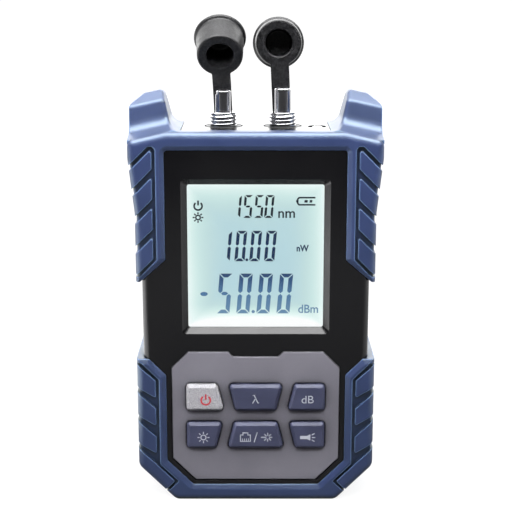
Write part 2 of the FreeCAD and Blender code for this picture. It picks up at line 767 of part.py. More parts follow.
def tongue(outer_gap, length):
    """The ring along the seam: the front half's tongue, or the room for it."""
    outer = both_sides(case_half(INNER_INSET - TONGUE - outer_gap, INNER_TOP_Z + TONGUE + outer_gap))
    return slab(outer, SPLIT_Y, SPLIT_Y + length)


def front_housing():
    far = HALF + 4 * FAR
    body = case_body().cut(block(-far, far, SPLIT_Y, BACK_Y + FAR, -FAR, TOP_Z + FAR))
    inside = slab(both_sides(case_half(INNER_INSET, INNER_TOP_Z)), SPLIT_Y - 1, BACK_Y)
    rim = tongue(0, 1.0).cut(inside)
    bosses = [rod(CASE_BOSS_RADIUS, INNER_FRONT_Y - 0.5, SPLIT_Y, x, z)
              for x, z in screw_places(CASE_SCREW_X, CASE_SCREW_Z)]
    posts = [rod(BOARD_POST_RADIUS, INNER_FRONT_Y - 0.5, BOARD_Y, x, z)
             for x, z in screw_places(BOARD_SCREW_X, BOARD_SCREW_Z)]
    body = fused([body, rim] + bosses + posts)
    pilots = [rod(CASE_SCREW_RADIUS + SCREW_GAP, INNER_FRONT_Y + 1, SPLIT_Y + 1, x, z)
              for x, z in screw_places(CASE_SCREW_X, CASE_SCREW_Z)]
    pilots += [rod(BOARD_SCREW_RADIUS + SCREW_GAP, INNER_FRONT_Y, BOARD_Y + 1, x, z)
               for x, z in screw_places(BOARD_SCREW_X, BOARD_SCREW_Z)]
    pocket = slab(both_sides(panel_half()), BEZEL_Y - 1, PANEL_BACK_Y, PANEL_GAP)
    return body.cut([window_opening(), pocket, key_openings(), jack_opening()] + pilots)


def bay_walls():
    """The battery bay: an open tray, and the ledge round it that the door lies on."""
    back = DOOR_Y - STACK_GAP
    outer = block(-BAY_HALF - BAY_WALL, BAY_HALF + BAY_WALL, BAY_FLOOR_Y - BAY_WALL, back,
                  BAY_BOTTOM_Z, BAY_TOP_Z + BAY_WALL)
    ledge_half = DOOR_HALF + DOOR_GAP + LEDGE
    ledge = block(-ledge_half, ledge_half, back - LEDGE, back, BAY_BOTTOM_Z, DOOR_TOP_Z + DOOR_GAP + LEDGE)
    inner = block(-BAY_HALF, BAY_HALF, BAY_FLOOR_Y, BACK_Y, BAY_Z, BAY_TOP_Z)
    slot = block(-BAY_HALF, BAY_HALF, DOOR_Y - 2.6, BACK_Y, BAY_BOTTOM_Z - 1, BAY_Z)
    return fused([outer, ledge]).cut([inner, slot])


def door_opening():
    half = DOOR_HALF + DOOR_GAP
    return block(-half, half, DOOR_Y - 2 * LEDGE, BACK_Y + FAR,
                 DOOR_BOTTOM_Z - DOOR_GAP, DOOR_TOP_Z + DOOR_GAP)


def port_places():
    """X of the meter port and of the laser port."""
    return (METER_PORT_X, LASER_PORT_X)


def rear_housing():
    far = HALF + 4 * FAR
    body = case_body().cut(block(-far, far, FRONT_Y - FAR, SPLIT_Y, -FAR, TOP_Z + FAR))
    body = body.cut(tongue(TONGUE_GAP, 1.0 + TONGUE_GAP))
    body = body.cut(door_opening())
    tube_radius = CASE_HEAD_RADIUS + 2 * SCREW_GAP + BOSS_WALL
    tubes = [rod(tube_radius, SPLIT_Y + STACK_GAP, INNER_BACK_Y + 0.5, x, z)
             for x, z in screw_places(CASE_SCREW_X, CASE_SCREW_Z)]
    body = fused([body, bay_walls()] + tubes)
    holes = []
    for x, z in screw_places(CASE_SCREW_X, CASE_SCREW_Z):
        holes.append(rod(CASE_SCREW_RADIUS + 2 * SCREW_GAP, SPLIT_Y - 1, BACK_Y, x, z))
        holes.append(rod(CASE_HEAD_RADIUS + 2 * SCREW_GAP, SPLIT_Y + CASE_WEB, BACK_Y, x, z))
    for x in port_places():
        holes.append(Part.makeCylinder(RING_RADIUS + 3 * RING_GAP, FAR, V(x, PORT_Y, RING_FLOOR_Z)))
        holes.append(Part.makeCylinder(NECK_RADIUS + PORT_GAP, 4 * FAR, V(x, PORT_Y, NECK_Z)))
    torch = V(TORCH_X, TORCH_BEHIND_MIDDLE, INNER_TOP_Z - 1)
    holes.append(Part.makeCylinder(TORCH_RADIUS + PORT_GAP, 2 * FAR, torch))
    return body.cut(holes + [jack_opening()])


# ---- display parts --------------------------------------------------------------

def lcd_panel():
    half = WINDOW_HALF + GLASS_EDGE
    return block(-half, half, GLASS_Y, GLASS_Y + GLASS_THICK,
                 WINDOW_BOTTOM_Z - GLASS_LEDGE, WINDOW_TOP_Z + GLASS_EDGE)


def lcd_backlight():
    half = WINDOW_HALF + LENS_EDGE
    return block(-half, half, LIGHT_Y, BOARD_Y - STACK_GAP,
                 WINDOW_BOTTOM_Z - LENS_EDGE, WINDOW_TOP_Z + LENS_EDGE)


def contact_strip():
    half = WINDOW_HALF - 1
    bottom = WINDOW_BOTTOM_Z - GLASS_LEDGE + STACK_GAP
    return block(-half, half, GLASS_Y + GLASS_THICK, BOARD_Y, bottom, bottom + STRIP_HEIGHT)


# ---- electronics ----------------------------------------------------------------

def main_board():
    half = case_half(INNER_INSET + BOARD_EDGE, BOARD_TOP_Z)
    board = slab(both_sides(half), BOARD_Y, BOARD_BACK_Y)
    far = HALF + FAR
    board = board.cut(block(-far, far, FRONT_Y, BACK_Y, -FAR, BOARD_BOTTOM_Z))
    holes = [rod(CASE_BOSS_RADIUS + 4 * SCREW_GAP, FRONT_Y, BACK_Y, x, z)
             for x, z in screw_places(CASE_SCREW_X, CASE_SCREW_Z)]
    holes += [rod(BOARD_SCREW_RADIUS + 3 * SCREW_GAP, FRONT_Y, BACK_Y, x, z)
              for x, z in screw_places(BOARD_SCREW_X, BOARD_SCREW_Z)]
    return board.cut(holes)


def processor_chip():
    half = CHIP_SIDE / 2
    middle = BAY_TOP_Z + BAY_WALL + CHIP_SIDE
    chip = block(-half, half, BOARD_BACK_Y, BOARD_BACK_Y + CHIP_THICK, middle - half, middle + half)
    return chip.makeChamfer(0.3, edges_at(chip, BOARD_BACK_Y + CHIP_THICK))


def keypad_mat():
    edge = HALF - LOWER_SIDE - PANEL_FRAME - KEY_EDGE + MAT_EDGE
    low = KEY_TOP_Z - 2 * KEY_HEIGHT - KEY_ROW_GAP - MAT_EDGE
    back = BOARD_Y - STACK_GAP
    sheet_y = back - MAT_THICK
    tip = KEY_BACK_Y + KEY_TRAVEL + STACK_GAP
    sheet = slab([
        (edge, low, 1.5),
        (edge, KEY_TOP_Z + MAT_EDGE, 1.5),
        (-edge, KEY_TOP_Z + MAT_EDGE, 1.5),
        (-edge, low, 1.5),
    ], sheet_y, back)
    domes = []
    rooms = []
    for row, column in all_keys():
        x, z = key_centre(row, column)
        height = sheet_y + 0.1 - tip
        domes.append(Part.makeCone(DOME_TIP_RADIUS, DOME_RADIUS, height, V(x, tip, z), V(0, 1, 0)))
        rooms.append(rod(PILL_RADIUS + 0.4, sheet_y - 0.4, BOARD_Y, x, z))
    return fused([sheet] + domes).cut(rooms)


def contact_pills():
    face = BOARD_Y - STACK_GAP - MAT_THICK - 0.4
    pills = []
    for row, column in all_keys():
        x, z = key_centre(row, column)
        pills.append(rod(PILL_RADIUS, face, face + PILL_THICK, x, z))
    return Part.makeCompound(pills)


def network_jack():
    half = JACK_WIDTH / 2
    body = block(-half, half, JACK_Y, JACK_Y + JACK_DEPTH, JACK_SINK, JACK_SINK + JACK_HEIGHT)
    middle = JACK_Y + JACK_DEPTH / 2
    plug = block(-PLUG_WIDTH / 2, PLUG_WIDTH / 2, middle - PLUG_DEPTH / 2, middle + PLUG_DEPTH / 2,
                 0, JACK_SINK + PLUG_REACH)
    latch = block(-LATCH_WIDTH / 2, LATCH_WIDTH / 2, middle, middle + PLUG_DEPTH / 2 + LATCH_DEPTH,
                  0, JACK_SINK + PLUG_REACH)
    return body.cut([plug, latch])


def torch_led():
    flange_z = INNER_TOP_Z - STACK_GAP - 1.0
    return turned([
        (0, flange_z, 0),
        (TORCH_RADIUS + 0.4, flange_z, 0),
        (TORCH_RADIUS + 0.4, flange_z + 1.0, 0),
        (TORCH_RADIUS, flange_z + 1.0, 0),
        (TORCH_RADIUS, CASE_TOP_Z, 1.2),
        (0, CASE_TOP_Z, 0),
    ], TORCH_X, TORCH_BEHIND_MIDDLE)


# ---- fibre ports ----------------------------------------------------------------

def port(x, stem_radius, stem):
    """Threaded port: neck through the case top, screwed collar and ferrule stem."""
    top = STEM_Z + stem
    bore = SLEEVE_RADIUS + SLEEVE_SEAT
    mouth = FERRULE_RADIUS + MOUTH_GAP
    return turned([
        (bore, NECK_Z, 0),
        (NECK_RADIUS, NECK_Z, 0.3),
        (NECK_RADIUS, THREAD_Z, 0),
        (THREAD_RADIUS, THREAD_Z, 0.3),
        (THREAD_RADIUS, STEM_Z, 0.3),
        (stem_radius, STEM_Z, 0),
        (stem_radius, top, 0.45),
        (mouth + MOUTH_FLARE, top, 0),
        (mouth, top - STEM_LIP, 0),
        (bore, top - STEM_LIP, 0),
    ], x, PORT_Y)


def meter_port():
    body = port(METER_PORT_X, METER_STEM_RADIUS, METER_STEM)
    rib_radius = 0.75 * METER_STEM_RADIUS
    offset = METER_STEM_RADIUS + 0.3 - rib_radius
    key_rib = turned([
        (0, STEM_Z - 0.5, 0),
        (rib_radius, STEM_Z - 0.5, 0),
        (rib_radius, STEM_Z + METER_STEM - 1.1, 0.3),
        (0, STEM_Z + METER_STEM - 1.1, 0),
    ], METER_PORT_X - offset, PORT_Y)
    bore = Part.makeCylinder(SLEEVE_RADIUS + SLEEVE_SEAT, METER_STEM, V(METER_PORT_X, PORT_Y, STEM_Z - 0.6))
    return fused([body, key_rib.cut(bore)])


def sleeve(x, stem):
    """Ceramic sleeve that lines up the ferrules."""
    bottom = NECK_Z + 1.0
    top = STEM_Z + stem - STEM_LIP - STACK_GAP
    inner = FERRULE_RADIUS + FERRULE_GAP
    tube = Part.makeCylinder(SLEEVE_RADIUS, top - bottom, V(x, PORT_Y, bottom))
    return tube.cut(Part.makeCylinder(inner, top - bottom + 2, V(x, PORT_Y, bottom - 1)))


def port_nut(x):
    """Hexagon nut that holds a port against the underside of the case top."""
    bottom = INNER_TOP_Z - STACK_GAP - NUT_THICK
    corners = []
    for i in range(7):
        corner = V(NUT_FLATS / math.sqrt(3), 0, 0)
        corner = FreeCAD.Rotation(V(0, 0, 1), 60 * i).multVec(corner)
        corners.append(corner + V(x, PORT_Y, bottom))
    nut = Part.Face(Part.makePolygon(corners)).extrude(V(0, 0, NUT_THICK))
    return nut.cut(Part.makeCylinder(NECK_RADIUS + STACK_GAP, 2 * NUT_THICK, V(x, PORT_Y, bottom - 1)))


def photodiode():
    """Metal can with a glass window and three leads."""
    top = NECK_Z - STACK_GAP
    can = turned([
        (0, top - 4.0, 0),
        (2.7, top - 4.0, 0),
        (2.7, top - 3.5, 0),
        (2.3, top - 3.5, 0),
        (2.3, top, 0.4),
        (0, top, 0),
    ], METER_PORT_X, PORT_Y)
    leads = []
    for i in range(3):
        angle = math.radians(90 + 120 * i)
        place = V(METER_PORT_X + 1.27 * math.cos(angle), PORT_Y + 1.27 * math.sin(angle), top - 10)
        leads.append(Part.makeCylinder(0.23, 6.2, place))
    return fused([can] + leads)


def laser_module():
    top = NECK_Z - STACK_GAP
    return turned([
        (0, top - LASER_LENGTH, 0),
        (LASER_RADIUS - 0.8, top - LASER_LENGTH, 0.3),
        (LASER_RADIUS - 0.8, top - LASER_LENGTH + 3, 0),
        (LASER_RADIUS, top - LASER_LENGTH + 3, 0.3),
        (LASER_RADIUS, top - 3, 0.3),
        (LASER_RADIUS - 1.4, top - 3, 0),
        (LASER_RADIUS - 1.4, top, 0.3),
        (0, top, 0),
    ], LASER_PORT_X, PORT_Y)


# ---- dust caps ------------------------------------------------------------------

def leaned(shape, x):
    """Lean a strap to the left about the bottom of its ring."""
    shape.rotate(V(x, STRAP_Y, RING_Z), V(0, 1, 0), -CAP_LEAN)
    return shape


def cap_tether(x, fold):
    """Ring round the port's neck and the strap that rises behind it."""
    ring = Part.makeCylinder(RING_RADIUS, RING_THICK, V(x, PORT_Y, RING_Z))
    half = STRAP_WIDTH / 2
    top = RING_Z + fold - STRAP_THICK / 2 - FOLD_GAP
    strap = block(x - half, x + half, STRAP_Y - STRAP_THICK / 2, STRAP_Y + STRAP_THICK / 2, RING_Z, top)
    strap = leaned(strap, x)
    below = block(x - 2 * half, x + 2 * half, PORT_Y, PORT_Y + 4 * half, RING_Z - FAR, RING_Z + RING_THICK)
    body = fused([ring, strap.cut(below)])
    return body.cut(Part.makeCylinder(NECK_RADIUS + PORT_GAP, 2 * FAR, V(x, PORT_Y, RING_Z - 1)))


def dust_cap(x, fold, rise, tilt):
    """Upper strap and cup, with the cup's mouth at the front."""
    fold_z = RING_Z + fold
    cup = turned([
        (0, 0, 0),
        (CUP_MOUTH_RADIUS, 0, 0.5),
        (CUP_BACK_RADIUS, CUP_LENGTH - CUP_FLANGE_THICK, 0.3),
        (CUP_FLANGE_RADIUS, CUP_LENGTH - CUP_FLANGE_THICK, 0.4),
        (CUP_FLANGE_RADIUS, CUP_LENGTH, 0.7),
        (0, CUP_LENGTH, 0),
    ], 0, 0)
    hole = turned([
        (0, -1, 0),
        (CUP_HOLE_RADIUS + 0.4, -1, 0),
        (CUP_HOLE_RADIUS + 0.4, 0, 0),
        (CUP_HOLE_RADIUS, 0.4, 0),
        (CUP_HOLE_RADIUS, CUP_LENGTH - CUP_FLOOR, 0.6),
        (0, CUP_LENGTH - CUP_FLOOR, 0),
    ], 0, 0)
    mouth = V(x, STRAP_Y - STRAP_THICK / 2, fold_z + rise)
    for shape in (cup, hole):
        shape.rotate(V(0, 0, 0), V(1, 0, 0), -90)
        shape.translate(mouth)
    half = STRAP_WIDTH / 2
    strap = block(x - half, x + half, STRAP_Y - STRAP_THICK / 2, STRAP_Y + STRAP_THICK / 2,
                  fold_z, fold_z + rise)
    knuckle = Part.makeCylinder(STRAP_THICK / 2, STRAP_WIDTH, V(x - half, STRAP_Y, fold_z), V(1, 0, 0))
    body = fused([cup, strap, knuckle]).cut(hole)
    body.rotate(V(x, STRAP_Y, fold_z), V(1, 0, 0), tilt)
    return leaned(body, x)


# ---- batteries ------------------------------------------------------------------

def cell_places():
    """Each cell's X and whether its nub points up."""
    return [(-CELL_SPACING, True), (0, False), (CELL_SPACING, True)]


def battery_cells():
    cells = []
    for x, nub_up in cell_places():
        cell = turned([
            (0, 0, 0),
            (CELL_RADIUS, 0, 0.6),
            (CELL_RADIUS, CELL_LENGTH - CELL_NUB, 0.6),
            (CELL_NUB_RADIUS, CELL_LENGTH - CELL_NUB, 0),
            (CELL_NUB_RADIUS, CELL_LENGTH, 0.3),
            (0, CELL_LENGTH, 0),
        ], x, CELL_Y)
        if nub_up:
            cell.translate(V(0, 0, BAY_Z + PLATE_THICK + SPRING_LENGTH))
        else:
            cell.rotate(V(x, CELL_Y, CELL_LENGTH / 2), V(1, 0, 0), 180)
            cell.translate(V(0, 0, BAY_Z + PLATE_THICK + BAY_END_GAP))
        cells.append(cell)
    return Part.makeCompound(cells)


def battery_springs():
    """Bowed leaf springs at the flat ends of the cells."""
    springs = []
    half = SPRING_WIDTH / 2
    reach = PLATE_SIDE / 2 - 0.4
    for x, nub_up in cell_places():
        rise = SPRING_LENGTH - BAY_END_GAP
        points = [V(x - half, CELL_Y - reach, 0), V(x - half, CELL_Y, rise), V(x - half, CELL_Y + reach, 0)]
        inner = [point + V(0, 0, -SPRING_THICK) for point in points]
        inner[0] = inner[0] + V(0, SPRING_THICK, SPRING_THICK)
        inner[2] = inner[2] + V(0, -SPRING_THICK, SPRING_THICK)
        section = Part.Wire([
            Part.Arc(*points).toShape(),
            Part.LineSegment(points[2], inner[2]).toShape(),
            Part.Arc(inner[2], inner[1], inner[0]).toShape(),
            Part.LineSegment(inner[0], points[0]).toShape(),
        ])
        spring = Part.Face(section).extrude(V(2 * half, 0, 0))
        if nub_up:
            spring.translate(V(0, 0, BAY_Z + PLATE_THICK))
        else:
            spring.rotate(V(x, CELL_Y, 0), V(1, 0, 0), 180)
            spring.translate(V(0, 0, BAY_TOP_Z - PLATE_THICK))
        springs.append(spring)
    return Part.makeCompound(springs)


def battery_contacts():
    plates = []
    half = PLATE_SIDE / 2
    for x, _ in cell_places():
        for bottom in (BAY_Z, BAY_TOP_Z - PLATE_THICK):
            plates.append(block(x - half, x + half, CELL_Y - half, CELL_Y + half,
                                bottom, bottom + PLATE_THICK))
    return Part.makeCompound(plates)


def battery_door():
    """Door hooked at its lower edge, with a finger grip near its upper edge."""
    half = DOOR_HALF
    radius = DOOR_THICK / 2
    plate = block(-half, half, DOOR_Y, CASE_BACK_Y, DOOR_BOTTOM_Z + radius, DOOR_TOP_Z)
    start = V(-half, DOOR_Y + radius, DOOR_BOTTOM_Z + radius)
    edge = Part.makeCylinder(radius, 2 * half, start, V(1, 0, 0))
    tabs = []
    for x in (-0.6 * half, 0.6 * half):
        tab_far = DOOR_Y - DOOR_TAB_GAP
        tab_near = tab_far - DOOR_TAB_THICK
        x0 = x - DOOR_TAB_WIDTH / 2
        x1 = x + DOOR_TAB_WIDTH / 2
        root = DOOR_BOTTOM_Z + radius
        tabs.append(block(x0, x1, tab_near, tab_far, DOOR_BOTTOM_Z - DOOR_TAB_DROP, root + 1.0))
        tabs.append(block(x0, x1, tab_near, DOOR_Y + 0.3, root, root + 1.0))
    grooves = []
    for i in range(4):
        level = DOOR_TOP_Z - 4.0 - 1.8 * i
        grooves.append(block(-6, 6, CASE_BACK_Y - 0.5, BACK_Y, level - 0.9, level))
    return fused([plate, edge] + tabs).cut(grooves)


# ---- screws ---------------------------------------------------------------------

def screw(x, z, seat_y, radius, length, head_radius, head):
    """Pan-head screw along Y with a cross slot, its head at the back."""
    shank = rod(radius, seat_y - length, seat_y + 0.1, x, z)
    cap = rod(head_radius, seat_y, seat_y + head, x, z)
    cap = cap.makeChamfer(0.35 * head, edges_at(cap, seat_y + head))
    slot = head_radius * 0.6
    width = head_radius * 0.16
    depth = seat_y + head * 0.5
    cross = [
        block(x - slot, x + slot, depth, seat_y + 2 * head, z - width, z + width),
        block(x - width, x + width, depth, seat_y + 2 * head, z - slot, z + slot),
    ]
    return fused([shank, cap]).cut(cross)


def case_screws():
    seat = SPLIT_Y + CASE_WEB
    return Part.makeCompound([
        screw(x, z, seat, CASE_SCREW_RADIUS, CASE_SCREW_LENGTH, CASE_HEAD_RADIUS, CASE_HEAD)
        for x, z in screw_places(CASE_SCREW_X, CASE_SCREW_Z)])


def board_screws():
    return Part.makeCompound([
        screw(x, z, BOARD_BACK_Y, BOARD_SCREW_RADIUS, BOARD_SCREW_LENGTH, BOARD_HEAD_RADIUS, BOARD_HEAD)
        for x, z in screw_places(BOARD_SCREW_X, BOARD_SCREW_Z)])


# ---- write every node -----------------------------------------------------------

def nodes():
    """Each node's name and solid."""
    yield "lower_bumper", lower_bumper()
    yield "upper_bumper", upper_bumper()
    yield "front_housing", front_housing()
    yield "rear_housing", rear_housing()
    yield "display_window", display_window()
    yield "lcd_panel", lcd_panel()
    yield "lcd_backlight", lcd_backlight()
    yield "lcd_contact_strip", contact_strip()
    yield "keypad_panel", keypad_panel()
    for row, column in all_keys():
        yield KEY_NAMES[row][column], key(row, column)
    yield "keypad_mat", keypad_mat()
    yield "contact_pills", contact_pills()
    yield "main_board", main_board()
    yield "processor_chip", processor_chip()
    yield "network_jack", network_jack()
    yield "torch_led", torch_led()
    yield "meter_port", meter_port()
    yield "meter_port_sleeve", sleeve(METER_PORT_X, METER_STEM)
    yield "meter_port_nut", port_nut(METER_PORT_X)
    yield "photodiode", photodiode()
    yield "laser_port", port(LASER_PORT_X, LASER_STEM_RADIUS, LASER_STEM)
    yield "laser_port_sleeve", sleeve(LASER_PORT_X, LASER_STEM)
    yield "laser_port_nut", port_nut(LASER_PORT_X)
    yield "laser_module", laser_module()
    yield "meter_cap_tether", cap_tether(METER_PORT_X, METER_FOLD)
    yield "meter_cap", dust_cap(METER_PORT_X, METER_FOLD, METER_RISE, METER_TILT)
    yield "laser_cap_tether", cap_tether(LASER_PORT_X, LASER_FOLD)
    yield "laser_cap", dust_cap(LASER_PORT_X, LASER_FOLD, LASER_RISE, LASER_TILT)
    yield "battery_cells", battery_cells()
    yield "battery_springs", battery_springs()
    yield "battery_contacts", battery_contacts()
    yield "battery_door", battery_door()
    yield "case_screws", case_screws()
    yield "board_screws", board_screws()


os.makedirs("parts", exist_ok=True)
for name, shape in nodes():
    shape.exportStep("parts/" + name + ".step")
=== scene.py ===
import json
import math

import bmesh
import bpy
from mathutils import Matrix, Vector

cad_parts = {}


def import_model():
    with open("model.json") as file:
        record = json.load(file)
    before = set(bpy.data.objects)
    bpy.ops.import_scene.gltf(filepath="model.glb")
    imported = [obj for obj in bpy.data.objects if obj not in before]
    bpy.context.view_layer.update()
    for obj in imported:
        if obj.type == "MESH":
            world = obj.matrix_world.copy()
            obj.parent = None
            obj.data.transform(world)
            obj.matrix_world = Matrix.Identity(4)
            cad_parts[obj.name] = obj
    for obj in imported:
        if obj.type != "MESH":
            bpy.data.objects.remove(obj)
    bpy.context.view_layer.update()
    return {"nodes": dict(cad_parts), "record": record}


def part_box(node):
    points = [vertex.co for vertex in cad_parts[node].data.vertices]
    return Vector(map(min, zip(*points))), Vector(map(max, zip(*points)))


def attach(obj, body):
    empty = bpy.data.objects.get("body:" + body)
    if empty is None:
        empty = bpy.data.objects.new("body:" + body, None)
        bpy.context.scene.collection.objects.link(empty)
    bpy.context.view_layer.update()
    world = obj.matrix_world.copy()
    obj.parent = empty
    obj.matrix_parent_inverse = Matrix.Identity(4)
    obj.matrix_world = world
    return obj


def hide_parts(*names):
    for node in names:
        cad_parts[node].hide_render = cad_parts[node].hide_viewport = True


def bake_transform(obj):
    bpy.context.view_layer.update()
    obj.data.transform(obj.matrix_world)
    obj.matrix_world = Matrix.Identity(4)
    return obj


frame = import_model()

# Looks of the optical power meter.  Metres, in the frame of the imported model:
# X to the right, the display faces -Y, Z up.

MM = 0.001
NODES = frame["nodes"]

# ---- camera --------------------------------------------------------------------------
CAMERA_DISTANCE = 0.360
CAMERA_ELEVATION = 13.3     # degrees
CAMERA_AIM = Vector((0.0001, 0.0, 0.06905))
CAMERA_LENS = 88.6
CAMERA_SENSOR = 36.0

# ---- sizes of the fibre ports --------------------------------------------------------
PORT_STEPS = 128            # points round each ring
NECK_RADIUS = 3.5 * MM
COLLAR_RADIUS = 4.0 * MM
COLLAR_LIFT = 0.95 * MM     # its foot above the underside of the dust cap's ring
COLLAR_HEIGHT = 3.85 * MM
COLLAR_CHAMFER = 0.35 * MM
THREAD_ROWS = 64
THREAD_PITCH = 1.0 * MM
THREAD_DEPTH = 0.42 * MM
THREAD_FADE = 0.45 * MM     # over which the groove runs out at the collar's ends
STEM_ROUND = 0.45 * MM
RIB_DROP = 1.1 * MM         # top of the stem's rib below the stem's own top
RIB_SHARE = 0.75            # radius of the rib's round over that of the stem
BORE_RADIUS = 1.65 * MM
MOUTH_RADIUS = 1.40 * MM
MOUTH_RIM = 1.50 * MM
MOUTH_DEPTH = 0.6 * MM
PORT_CREASE = 40            # degrees, above which an edge stays sharp

# ---- sizes of the marks on the display and the keys ----------------------------------
MARK_THICK = 0.02 * MM
DISPLAY_MARK_LIFT = 0.008 * MM   # clear of the glass
KEY_MARK_SINK = 0.004 * MM       # into the key
SEGMENT_GAP = 0.16               # in millimetres, as all marks are drawn
SEGMENT_SLANT = math.tan(math.radians(5.0))

# ---- sizes of the dust caps ----------------------------------------------------------
PORT_Y = 3.0 * MM           # the ports' axes
RING_INNER = 3.62 * MM
RING_OUTER = 5.1 * MM
RING_THICK = 0.9 * MM
STRAP_Y = 7.75 * MM
STRAP_THICK = 1.2 * MM
STRAP_HALF = 2.6 * MM
STRAP_LEAN = -2.6           # degrees, sideways
STRAP_FOOT = 0.35 * MM      # its lower end above the underside of the ring
STRAP_LAP = 0.2 * MM        # each half runs this far past the fold
STRAP_END = 4.2 * MM        # its upper end below the cup's axis
CUP_PROFILE = (             # radius and distance from the mouth, in millimetres
    (4.15, 0.0), (6.0, 0.0), (6.3, 0.18), (6.42, 0.5), (6.78, 9.0), (7.05, 9.2), (7.32, 9.45),
    (7.42, 9.9), (7.36, 10.3), (7.1, 10.6), (6.7, 10.7), (0.02, 10.7), (0.02, 9.2), (3.2, 9.2),
    (3.6, 9.0), (3.75, 8.6), (3.75, 0.45), (3.9, 0.12),
)
RING_STEPS = 96
CUP_STEPS = 128
SKIN_VOXEL = 0.17 * MM
SKIN_PASSES = 3             # of smoothing

# ---- sizes of the stage --------------------------------------------------------------
FLOOR_HALF = 6.0
FLOOR_Z = -0.0001
FILL_SHARE = 0.35           # how much of the studio's white lights the part


# ---- mesh helpers --------------------------------------------------------------------

def shown(name, mesh):
    """An object for a mesh, in the scene."""
    obj = bpy.data.objects.new(name, mesh)
    bpy.context.scene.collection.objects.link(obj)
    return obj


def mesh_object(name, vertices, faces, smooth=True):
    """A mesh object from plain lists, with its normals made consistent."""
    mesh = bpy.data.meshes.new(name)
    mesh.from_pydata([tuple(v) for v in vertices], [], faces)
    mesh.validate()
    made = bmesh.new()
    made.from_mesh(mesh)
    bmesh.ops.recalc_face_normals(made, faces=made.faces)
    made.to_mesh(mesh)
    made.free()
    for face in mesh.polygons:
        face.use_smooth = smooth
    return shown(name, mesh)


def sharpen(obj, degrees):
    """Smooth shading that breaks at edges sharper than an angle."""
    made = bmesh.new()
    made.from_mesh(obj.data)
    for edge in made.edges:
        if len(edge.link_faces) == 2:
            edge.smooth = edge.calc_face_angle() < math.radians(degrees)
    made.to_mesh(obj.data)
    made.free()


def turned(name, rings, centre):
    """A closed skin through rings, each a height and its radii at even angles."""
    steps = len(rings[0][1])
    vertices = []
    for z, radii in rings:
        for i, r in enumerate(radii):
            angle = 2 * math.pi * i / steps
            vertices.append((centre.x + r * math.cos(angle), centre.y + r * math.sin(angle), z))
    faces = []
    last = (len(rings) - 1) * steps
    for row in range(0, last, steps):
        for i in range(steps):
            j = (i + 1) % steps
            faces.append((row + i, row + j, row + steps + j, row + steps + i))
    for i in range(steps):
        j = (i + 1) % steps
        faces.append((last + i, last + j, j, i))
    return mesh_object(name, vertices, faces)


def turn_about(pivot, degrees, axis):
    """A turn round an axis through a point."""
    pivot = Vector(pivot)
    return (Matrix.Translation(pivot) @ Matrix.Rotation(math.radians(degrees), 4, axis)
            @ Matrix.Translation(-pivot))


def add_revolved(made, profile, steps, place):
    """Turn a closed (radius, height) profile and add it to a bmesh."""
    rings = []
    for i in range(steps):
        angle = 2 * math.pi * i / steps
        rings.append([
            made.verts.new(place @ Vector((r * math.cos(angle), r * math.sin(angle), z)))
            for r, z in profile
        ])
    count = len(profile)
    for i in range(steps):
        here, there = rings[i], rings[(i + 1) % steps]
        for j in range(count):
            k = (j + 1) % count
            made.faces.new((here[j], there[j], there[k], here[k]))


def add_box(made, low, high, place):
    """A box between two corners, moved by a matrix."""
    corners = [made.verts.new(place @ Vector((x, y, z)))
               for x in (low[0], high[0]) for y in (low[1], high[1]) for z in (low[2], high[2])]
    for face in ((0, 1, 3, 2), (4, 6, 7, 5), (0, 4, 5, 1),
                 (2, 3, 7, 6), (0, 2, 6, 4), (1, 5, 7, 3)):
        made.faces.new([corners[i] for i in face])


# ---- drawing in millimetres: outlines are lists of (x, z) points ---------------------

def moved(outlines, x, z, slant=0.0):
    """Outlines shifted to a place, leaned to the right by a slant."""
    return [[(x + px + slant * pz, z + pz) for px, pz in points] for points in outlines]


def bar(x0, z0, x1, z1, width):
    """A straight stroke."""
    along = Vector((x1 - x0, z1 - z0)).normalized()
    side = Vector((-along.y, along.x)) * width / 2
    return [(x0 + side.x, z0 + side.y), (x0 - side.x, z0 - side.y),
            (x1 - side.x, z1 - side.y), (x1 + side.x, z1 + side.y)]


def arc(radius, width, start, end, steps=24):
    """A stroke along part of a circle, from one angle to another in degrees."""
    angles = [math.radians(start + (end - start) * i / steps) for i in range(steps + 1)]
    outer, inner = radius + width / 2, radius - width / 2
    return ([(outer * math.cos(a), outer * math.sin(a)) for a in angles]
            + [(inner * math.cos(a), inner * math.sin(a)) for a in reversed(angles)])


def rays(inner, outer, width, count=8):
    """Strokes that point out from the origin."""
    strokes = []
    for i in range(count):
        angle = 2 * math.pi * i / count
        x, z = math.cos(angle), math.sin(angle)
        strokes.append(bar(inner * x, inner * z, outer * x, outer * z, width))
    return strokes


def blob(width, height, steps=24):
    """A rounded lozenge round the origin."""
    angles = [2 * math.pi * i / steps for i in range(steps)]
    return [(width / 2 * math.cos(a), height / 2 * math.sin(a)) for a in angles]


def mark(name, outlines, front_y):
    """Closed outlines as thin solids facing -Y."""
    vertices = []
    faces = []
    for points in outlines:
        base = len(vertices)
        count = len(points)
        vertices += [(x * MM, front_y, z * MM) for x, z in points]
        vertices += [(x * MM, front_y + MARK_THICK, z * MM) for x, z in points]
        faces.append(tuple(range(base, base + count)))
        faces.append(tuple(range(base + 2 * count - 1, base + count - 1, -1)))
        for i in range(count):
            j = (i + 1) % count
            faces.append((base + i, base + count + i, base + count + j, base + j))
    return mesh_object(name, vertices, faces, smooth=False)


